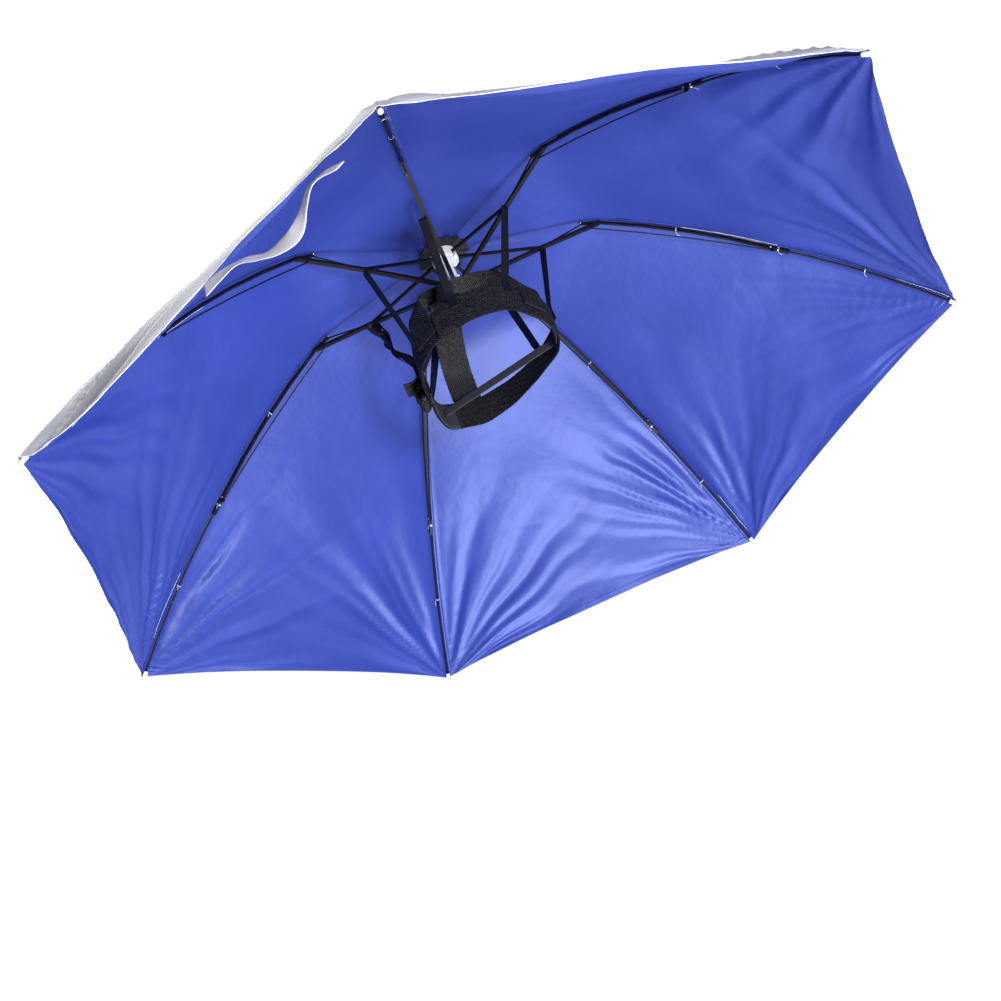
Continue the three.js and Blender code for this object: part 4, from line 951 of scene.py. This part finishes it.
# Legs from the band up to the ribs' pivots: bottom, kink and top points, width's direction below and above
LEGS = (
    ((74.7, -10.3, -43.4), (74.7, -10.3, -29.0), (101.0, -4.0, 52.3),
     (0.06, 1.0, 0.0), (-0.02, 1.0, -0.07)),
    ((61.3, 44.7, -44.0), (61.3, 44.7, -29.6), (66.5, 76.2, 52.3),
     (-0.63, 0.77, 0.0), (-0.8, 0.57, -0.17)),
    ((-7.9, 76.2, -47.4), (-7.9, 76.2, -33.0), (-22.5, 98.5, 52.3),
     (-0.8, -0.6, 0.0), (-0.5, -0.85, -0.1)),
    ((-56.3, 50.6, -49.7), (-56.3, 50.6, -35.3), (-91.0, 43.8, 52.3),
     (-0.63, -0.77, 0.0), (-0.36, -0.91, -0.21)),
    ((-64.1, -72.6, -50.2), (-64.1, -72.6, -35.8), (-91.0, -43.8, 52.3),
     (0.97, -0.23, 0.0), (0.35, -0.85, 0.39)),
    ((-1.1, -72.4, -47.1), (-1.1, -72.4, -32.7), (-22.5, -98.5, 52.3),
     (1.0, 0.04, 0.0), (0.95, -0.27, 0.15)),
    ((43.8, -62.9, -44.9), (43.8, -62.9, -30.5), (63.0, -79.0, 52.3),
     (0.87, 0.5, 0.0), (0.77, 0.64, -0.05)),
)
STRANDED_LEG = 5
KNOTTED_LEG = 3
# Strands of that leg: angle at the start, turns, width, spread in millimetres
STRANDS = (
    (0.0, 1.2, 4.6, 6.0), (2.1, -1.4, 4.0, 8.0), (4.0, 1.7, 4.4, 5.0),
    (5.2, -0.9, 3.8, 9.0), (1.1, 0.7, 5.0, 4.0),
)


def leg_rows(rib):
    bottom, kink, top, low, high = (np.array(p) for p in LEGS[rib])
    rows = [np.concatenate([point, low]) for point in (bottom, (bottom + kink) / 2, kink)]
    for t in (0.15, 0.35, 0.6, 0.85, 1.0):
        rows.append(np.concatenate([kink + (top - kink) * t, low * (1 - t) + high * t]))
    return rows


def leg(rib):
    """Flat tape from the band up to a rib's pivot."""
    rows = leg_rows(rib)
    piece, *_ = strap(f"leg_tape_{rib + 1}", rows, 8.8, 1.0, TAPE, 2.0, 0.15, 0.25, 20 + rib)
    finish_soft(piece, f"leg_{rib + 1}")


def stranded_leg(rib):
    """The leg whose tape is split and twisted into narrow strands below a folded loop."""
    fine = spline(leg_rows(rib), 1.6)
    centres = fine[:, :3]
    _, across, up = directions(centres, unit(fine[:, 3:6]))
    t = np.linspace(0, 1, len(centres))
    parts = []
    for k, (start, turn, width, spread) in enumerate(STRANDS):
        swing = start + turn * 2 * math.pi * t
        reach = spread * np.sin(math.pi * np.clip(t, 0, 1)) ** 0.7 + 0.8
        middle = (centres + FRONT_SIDEWAYS * (np.cos(swing) * reach * 0.8)[:, None]
                  + across * (np.sin(swing * 0.7 + k) * reach * 0.4)[:, None])
        twist = swing * 0.8 + k
        side = across * np.cos(twist)[:, None] + up * np.sin(twist)[:, None]
        _, side, rise = directions(middle, side)
        parts.append(tube_of(rounded_section(width, 0.9), middle, side, rise)[:2])
    # The loop folded over at the top
    top, outward = centres[-1], unit(centres[-1] - centres[-6])
    angle = np.linspace(-0.6, 2 * math.pi - 0.9, 26)
    ring = (top - outward * 13 + FRONT_SIDEWAYS * (8.0 * np.sin(angle))[:, None]
            + outward * (12.5 * np.cos(angle))[:, None] + up[-1] * (1.5 * np.sin(2 * angle))[:, None])
    _, side, rise = directions(ring, np.repeat(unit(across[-1:] + 0.9 * outward), len(ring), axis=0))
    parts.append(tube_of(rounded_section(8.0, 1.0), ring, side, rise)[:2])
    piece = joined(f"leg_tape_{rib + 1}", parts, TAPE)
    finish_soft(piece, f"leg_{rib + 1}")


for rib in range(RIBS):
    if rib == STRANDED_LEG:
        stranded_leg(rib)
    else:
        leg(rib)


def knot():
    """Where one leg is sewn to the band: the tape's end turned back and bar-tacked into a lump."""
    bottom, low = np.array(LEGS[KNOTTED_LEG][0]), np.array(LEGS[KNOTTED_LEG][3])
    out = unit(np.cross(low, [0, 0, 1]))
    out = out * np.sign(out @ np.array([bottom[0], bottom[1], 0]))
    angle = np.linspace(0, 2 * math.pi, 18)
    ring = (bottom + np.array([0, 0, 4]) + out * (1.4 + 1.5 * np.cos(angle))[:, None]
            + np.array([0, 0, 1]) * (6.5 * np.sin(angle))[:, None])
    _, side, rise = directions(ring, np.repeat(low[None], len(ring), axis=0))
    parts = [tube_of(rounded_section(9.6, 0.9), ring, side, rise)[:2]]
    finish_soft(joined("leg_ends_tape", parts, TAPE), None)


knot()


def lining(name, start, end, offset, width, material, drop=0.0):
    """Smooth tape along the band's inside between two angles."""
    angles = np.degrees(np.arctan2(BAND_AT[:, 1], BAND_AT[:, 0])) % 360
    take = np.where((angles > start) & (angles < end))[0][::6]
    rows = []
    for k in take:
        lean = math.radians(BAND_LEAN[k])
        width_way = math.cos(lean) * np.array([0, 0, 1]) + math.sin(lean) * BAND_OUT[k]
        face = math.cos(lean) * BAND_OUT[k] - math.sin(lean) * np.array([0, 0, 1])
        rows.append(np.concatenate([BAND_AT[k] - face * offset - width_way * drop, width_way]))
    piece, *_ = strap(name, rows, width, 0.9, material, 2.0, 0.2, 0.3, 31)
    finish_soft(piece, None)


lining("band_lining_left", 214, 262, 2.0, 31, ELASTIC, 2.0)
lining("band_lining_front", 262, 332, 1.9, 27, TAPE)
lining("band_lining_right", 58, 108, 1.9, 28, ELASTIC)


def box_stitch():
    """Stitches round the patch, a second row inside the first."""
    centre, out, run = band_seat(PATCH_ANGLE)
    face = centre + out * 3.35 + np.array([0, 0, -4.5])
    parts = []
    for inset in (2.0, 4.2):
        w, h = 9.5 - inset, 12.5 - inset
        square = ((-w, -h), (w, -h), (w, h), (-w, h), (-w, -h))
        corners = [face + run * x + np.array([0, 0, z]) for x, z in square]
        for a, b in zip(corners, corners[1:]):
            line = np.linspace(a, b, 12)
            parts += stitch_row(line, np.repeat(out[None], 12, axis=0), 2.6, 1.9, 0.42, 0.15)
    finish_soft(joined("patch_stitches_thread", parts, BLACK_THREAD), None)


box_stitch()


def band_bundle():
    """The band's spare length at its left, rolled into a flat oval beside the adjuster."""
    centre, out, run = band_seat(250)
    angle = np.linspace(0.2, 2 * math.pi * 1.35, 46)
    size = np.linspace(1.0, 0.62, 46)
    middle = centre + out * 7.4 + np.array([0, 0, -3])
    ring = (middle + out * (6.5 * size * np.cos(angle))[:, None]
            + np.array([0, 0, 1]) * (14 * size * np.sin(angle))[:, None])
    rows = np.hstack([ring, np.repeat(run[None], 46, axis=0)])
    piece = woven_strap("band_spare_roll_webbing", rows, 22, 1.3, WEBBING)
    finish_soft(piece, None)


band_bundle()


# Seams, threads and ties on the cloth's inside

def beside_rib(rib, offset, first=0.12, last=0.97, lower=0.3):
    """A run on the cloth's inside at a set distance beside a rib's ridge, and its normals."""
    columns = 2 * HALF_STEPS
    centre = rib * columns
    side = 1 if offset > 0 else -1
    take = [(centre + side * k) % (RIBS * columns) for k in range(12)]
    start, end = int(first * len(CLOTH_IN)), int(last * len(CLOTH_IN))
    points, normals = CLOTH_IN[start:end][:, take], CLOTH_NORMAL[start:end][:, take]
    steps = np.linalg.norm(np.diff(points, axis=1), axis=2)
    along = np.concatenate([np.zeros((len(points), 1)), np.cumsum(steps, axis=1)], axis=1)
    at = np.stack([[np.interp(abs(offset), along[i], points[i, :, k]) for k in range(3)]
                   for i in range(len(points))])
    out = unit(normals[:, 1])
    return at - out * lower, out


# The side of each rib that its seam's spare cloth is pressed to
SEAM_SIDE = (1, 1, -1, 1, -1, 1, 1)


def seam_flaps():
    """The seams' spare cloth, pressed to one side of each rib."""
    parts = []
    for rib in range(RIBS):
        side = SEAM_SIDE[rib]
        near, out = beside_rib(rib, side * 1.2, lower=0.5)
        far, _ = beside_rib(rib, side * 6.5, lower=0.55)
        t = np.arange(len(near))
        far = far - out * (0.25 + 0.25 * np.sin(t * 0.9 + rib))[:, None]
        near_top, far_top = near + out * 0.35, far + out * 0.35
        rings = np.stack([near, far, far_top, near_top], axis=1)
        n = len(near)
        faces = [(i * 4 + a, i * 4 + (a + 1) % 4, (i + 1) * 4 + (a + 1) % 4, (i + 1) * 4 + a)
                 for i in range(n - 1) for a in range(4)]
        faces += [(3, 2, 1, 0), (4 * n - 4, 4 * n - 3, 4 * n - 2, 4 * n - 1)]
        parts.append((rings.reshape(-1, 3), faces))
    piece = joined("gore_seam_cloth", parts, BLUE)
    return finish_soft(piece, None)


def resample(points, step):
    """Points at an even step along a run."""
    along = np.concatenate([[0], np.cumsum(np.linalg.norm(np.diff(points, axis=0), axis=1))])
    at = np.arange(0, along[-1], step)
    return np.stack([np.interp(at, along, points[:, k]) for k in range(3)], axis=1)


def overlock(rib, offset, width, step):
    """Zigzag thread over a seam's cut edge."""
    inner, _ = beside_rib(rib, offset - width * np.sign(offset) / 2, lower=0.95)
    outer, _ = beside_rib(rib, offset + width * np.sign(offset) / 2, lower=0.95)
    a, b = resample(inner, step), resample(outer, step)
    n = min(len(a), len(b))
    zigzag = np.where((np.arange(n) % 2 == 0)[:, None], a[:n], b[:n])
    return round_wire(zigzag, 0.28, 4)[:2]


# Runs of white thread: rib, millimetres beside it, and the shares of its length they start and end at
WHITE_RUNS = (
    (2, -5, 0.72, 0.96), (2, -6.5, 0.2, 0.4), (3, -6, 0.7, 0.88), (3, 9, 0.45, 0.6),
    (5, 7, 0.6, 0.8), (6, -4, 0.14, 0.3), (6, -7, 0.2, 0.36), (2, -3.6, 0.16, 0.34),
)


def seam_threads():
    """Overlock in blue on every seam; in white where the thread changed, and strays where it came loose."""
    blue = [overlock(rib, SEAM_SIDE[rib] * 6.2, 1.6, 1.6) for rib in range(RIBS)]
    finish_soft(joined("seam_overlock_thread_blue", blue, BLUE_THREAD), None)
    white = []
    for rib, offset, first, last in WHITE_RUNS:
        run, out = beside_rib(rib, offset, first, last, lower=1.1)
        run = resample(run, 3)
        wobble = np.cumsum(rng.normal(0, 0.16, len(run)))[:, None]
        across = unit(np.cross(out[0], run[-1] - run[0]))
        white.append(round_wire(run + across * wobble, 0.32, 5)[:2])
    finish_soft(joined("seam_thread_white", white, WHITE_THREAD), None)


STITCH_ROW = 9


def hem_stitches():
    """The hem's row of stitches, a little inside its turned edge."""
    row = CLOTH_IN[-STITCH_ROW]
    normals = CLOTH_NORMAL[-STITCH_ROW]
    closed, outward = np.vstack([row, row[:1]]), np.vstack([normals, normals[:1]])
    stitches = stitch_row(closed - outward * 0.12, -outward, 3.2, 2.3, 0.3, 0.12)
    finish_soft(joined("hem_stitches_thread", stitches, BLUE_THREAD), None)


def at_rib(rib, radius, height):
    angle = 2 * math.pi * rib / RIBS
    return np.array([radius * math.cos(angle), radius * math.sin(angle), height + HUB_RISE])


def tie(rib, line, share, turns=3):
    """Turns of thread round a rib and through the cloth, with a loose end."""
    along = np.linspace(0, 1, len(line))
    r, z = np.interp(share, along, line[:, 0]), np.interp(share, along, line[:, 1])
    angle = 2 * math.pi * rib / RIBS
    around = np.array([-math.sin(angle), math.cos(angle), 0])
    k = min(int(share * (len(line) - 1)), len(line) - 2)
    slope = unit(line[k + 1] - line[k])
    run = np.array([slope[0] * math.cos(angle), slope[0] * math.sin(angle), slope[1]])
    up = np.cross(around, run)
    up = up * np.sign(up[2])
    centre = at_rib(rib, r, z)
    t = np.linspace(0, turns * 2 * math.pi, 14 * turns)
    points = (centre + run * (t / (2 * math.pi) * 0.5 - 0.7)[:, None]
              + around * (2.1 * np.cos(t))[:, None] + up * (2.05 * np.sin(t) + 0.3)[:, None])
    swing = rng.uniform(-1, 1, 2)
    tail = points[-1] + np.array([around * 1.2 - up * 1.2, around * (2 + swing[0]) - up * 3 + run * 2,
                                  around * (2 + swing[0]) - up * 3.6 + run * (3.5 + 2 * swing[1])])
    return round_wire(np.vstack([points, tail]), 0.42, 5)[:2]


def ties():
    parts = []
    for rib in range(RIBS):
        parts.append(tie(rib, outer_rib(rib, 12), 0.04, 4))
        if rib in (0, 2, 3, 5):
            parts.append(tie(rib, middle_rib(rib, 12)[1:], 0.45, 2))
        parts.append(tie(rib, outer_rib(rib, 12), 0.5, 2))
    finish_soft(joined("cloth_ties_thread", parts, WHITE_THREAD), None)


def rivets():
    """Rivet heads on both sides of each joint of the ribs."""
    parts = []
    disc = np.array([[math.cos(t), math.sin(t)] for t in np.linspace(0, 2 * math.pi, 12, endpoint=False)])
    for rib in range(RIBS):
        angle = 2 * math.pi * rib / RIBS
        outward = np.array([math.cos(angle), math.sin(angle), 0])
        around = np.array([-math.sin(angle), math.cos(angle), 0])
        for place in (joint(rib, PIVOT), joint(rib, SLEEVE), joint(rib, STRUT_END), joint(rib, ELBOW)):
            centre = at_rib(rib, *place)
            for side in (-1, 1):
                rings = []
                for radius, height in ((1.4, 1.9), (1.3, 2.35), (0.95, 2.6), (0.4, 2.75)):
                    plane = outward * disc[:, :1] * radius + np.array([0, 0, 1]) * disc[:, 1:] * radius
                    rings.append(centre + plane + around * side * height)
                vertices = np.vstack(rings)
                faces = [(i * 12 + a, i * 12 + (a + 1) % 12, (i + 1) * 12 + (a + 1) % 12, (i + 1) * 12 + a)
                         for i in range(3) for a in range(12)]
                faces += [tuple(range(11, -1, -1)), tuple(range(36, 48))]
                if side > 0:
                    faces = [f[::-1] for f in faces]
                parts.append((vertices, faces))
    finish_soft(joined("rib_joint_rivets", parts, RIVET), None)


def hem_corner():
    """A small blank white corner of cloth that stands out of the hem's seam."""
    index = len(CLOTH_IN) - 17
    column = (6 * 2 * HALF_STEPS + 10) % (RIBS * 2 * HALF_STEPS)
    at, out = CLOTH_IN[index, column], CLOTH_NORMAL[index, column]
    along = unit(CLOTH_IN[index, column + 1] - CLOTH_IN[index, column - 1])
    back = np.cross(out, along)
    flat = [at - out * 0.8 - back * 4, at - out * 0.8 + along * 5 - back * 4,
            at - out * 1.6 + along * 4.5 + back * 6]
    corners = flat + [q - out * 0.4 for q in flat]
    faces = [(0, 1, 2), (5, 4, 3), (0, 3, 4, 1), (1, 4, 5, 2), (2, 5, 3, 0)]
    finish_soft(make("hem_corner_white", corners, faces, [HEM], smooth=False), None)


seam_flaps()
hem_corner()
seam_threads()
hem_stitches()
ties()
rivets()


# Camera at the photograph's viewing angle, plain light and floor

VIEW_RIGHT = Vector((-0.21712, 0.91356, -0.3439))
VIEW_UP = Vector((0.44017, 0.40608, 0.80084))
VIEW_BACK = Vector((0.87127, 0.0225, -0.49029))


def place_camera():
    data = bpy.data.cameras.new("camera")
    data.sensor_width = 36
    data.lens = 50.546
    data.shift_x, data.shift_y = -0.01122, -0.0084
    data.clip_start, data.clip_end = 0.02, 60
    camera = bpy.data.objects.new("camera", data)
    turn = Matrix((VIEW_RIGHT, VIEW_UP, VIEW_BACK)).transposed().to_4x4()
    camera.matrix_world = Matrix.Translation((1.1656, -0.0019, -0.8695)) @ turn
    bpy.context.collection.objects.link(camera)
    bpy.context.scene.camera = camera


def area_light(name, place, target, size, power, colour="#FFFFFF"):
    data = bpy.data.lights.new(name, "AREA")
    data.shape = "DISK"
    data.size = size
    data.energy = power
    data.color = srgb(colour)[:3]
    lamp = bpy.data.objects.new(name, data)
    lamp.location = place
    lamp.rotation_euler = (Vector(target) - Vector(place)).to_track_quat("-Z", "Y").to_euler()
    bpy.context.collection.objects.link(lamp)


def flat_panel(name, corners, material):
    """A flat staged panel from its four corners in metres."""
    panel = make(name, np.array(corners) / MM, [(0, 1, 2, 3)], [material], smooth=False)


def studio():
    world = bpy.data.worlds.new("studio_air")
    world.use_nodes = True
    background = world.node_tree.nodes["Background"]
    background.inputs["Color"].default_value = (1, 1, 1, 1)
    background.inputs["Strength"].default_value = 0.2
    bpy.context.scene.world = world
    # Heavy paper, matt and white, for the floor
    material, place = new_material("floor_paper_matt_white")
    cloud = add(material, NOISE, Vector=place, Scale=1 / (400 * MM), Detail=2, Roughness=0.5)
    tone = add(material, RAMP, {"stops": ((0.3, "#EDEDEE"), (0.7, "#F4F4F5"))}, Fac=cloud)
    add(material, OUTPUT, Surface=add(material, SHADER, Base_Color=tone, Roughness=0.9))
    flat_panel("studio_floor", [(-6, -6, -1.6), (6, -6, -1.6), (6, 6, -1.6), (-6, 6, -1.6)], material)
    # A lit paper wall behind the hat, square to the camera's view
    lit, _ = new_material("backdrop_paper_lit_white")
    glow = add(lit, SHADER, Roughness=1.0, Base_Color=(0, 0, 0, 1), Emission_Color=(1, 1, 1, 1),
               Emission_Strength=1.0)
    add(lit, OUTPUT, Surface=glow)
    centre = -VIEW_BACK * 4.5
    signs = ((-1, -1), (1, -1), (1, 1), (-1, 1))
    corners = [centre + VIEW_RIGHT * (5 * a) + VIEW_UP * (5 * b) for a, b in signs]
    flat_panel("studio_backdrop", corners, lit)
    area_light("below_soft", (0.0, 0.05, -1.5), (-0.15, 0, -0.05), 0.8, 27)
    area_light("key", (1.5, 0.7, -1.05), (0, 0, -0.05), 0.35, 30)
    area_light("top_soft", (-0.6, -1.0, 2.2), (0, 0, 0), 1.6, 26)
    bpy.context.scene.view_settings.view_transform = "Standard"


place_camera()
studio()
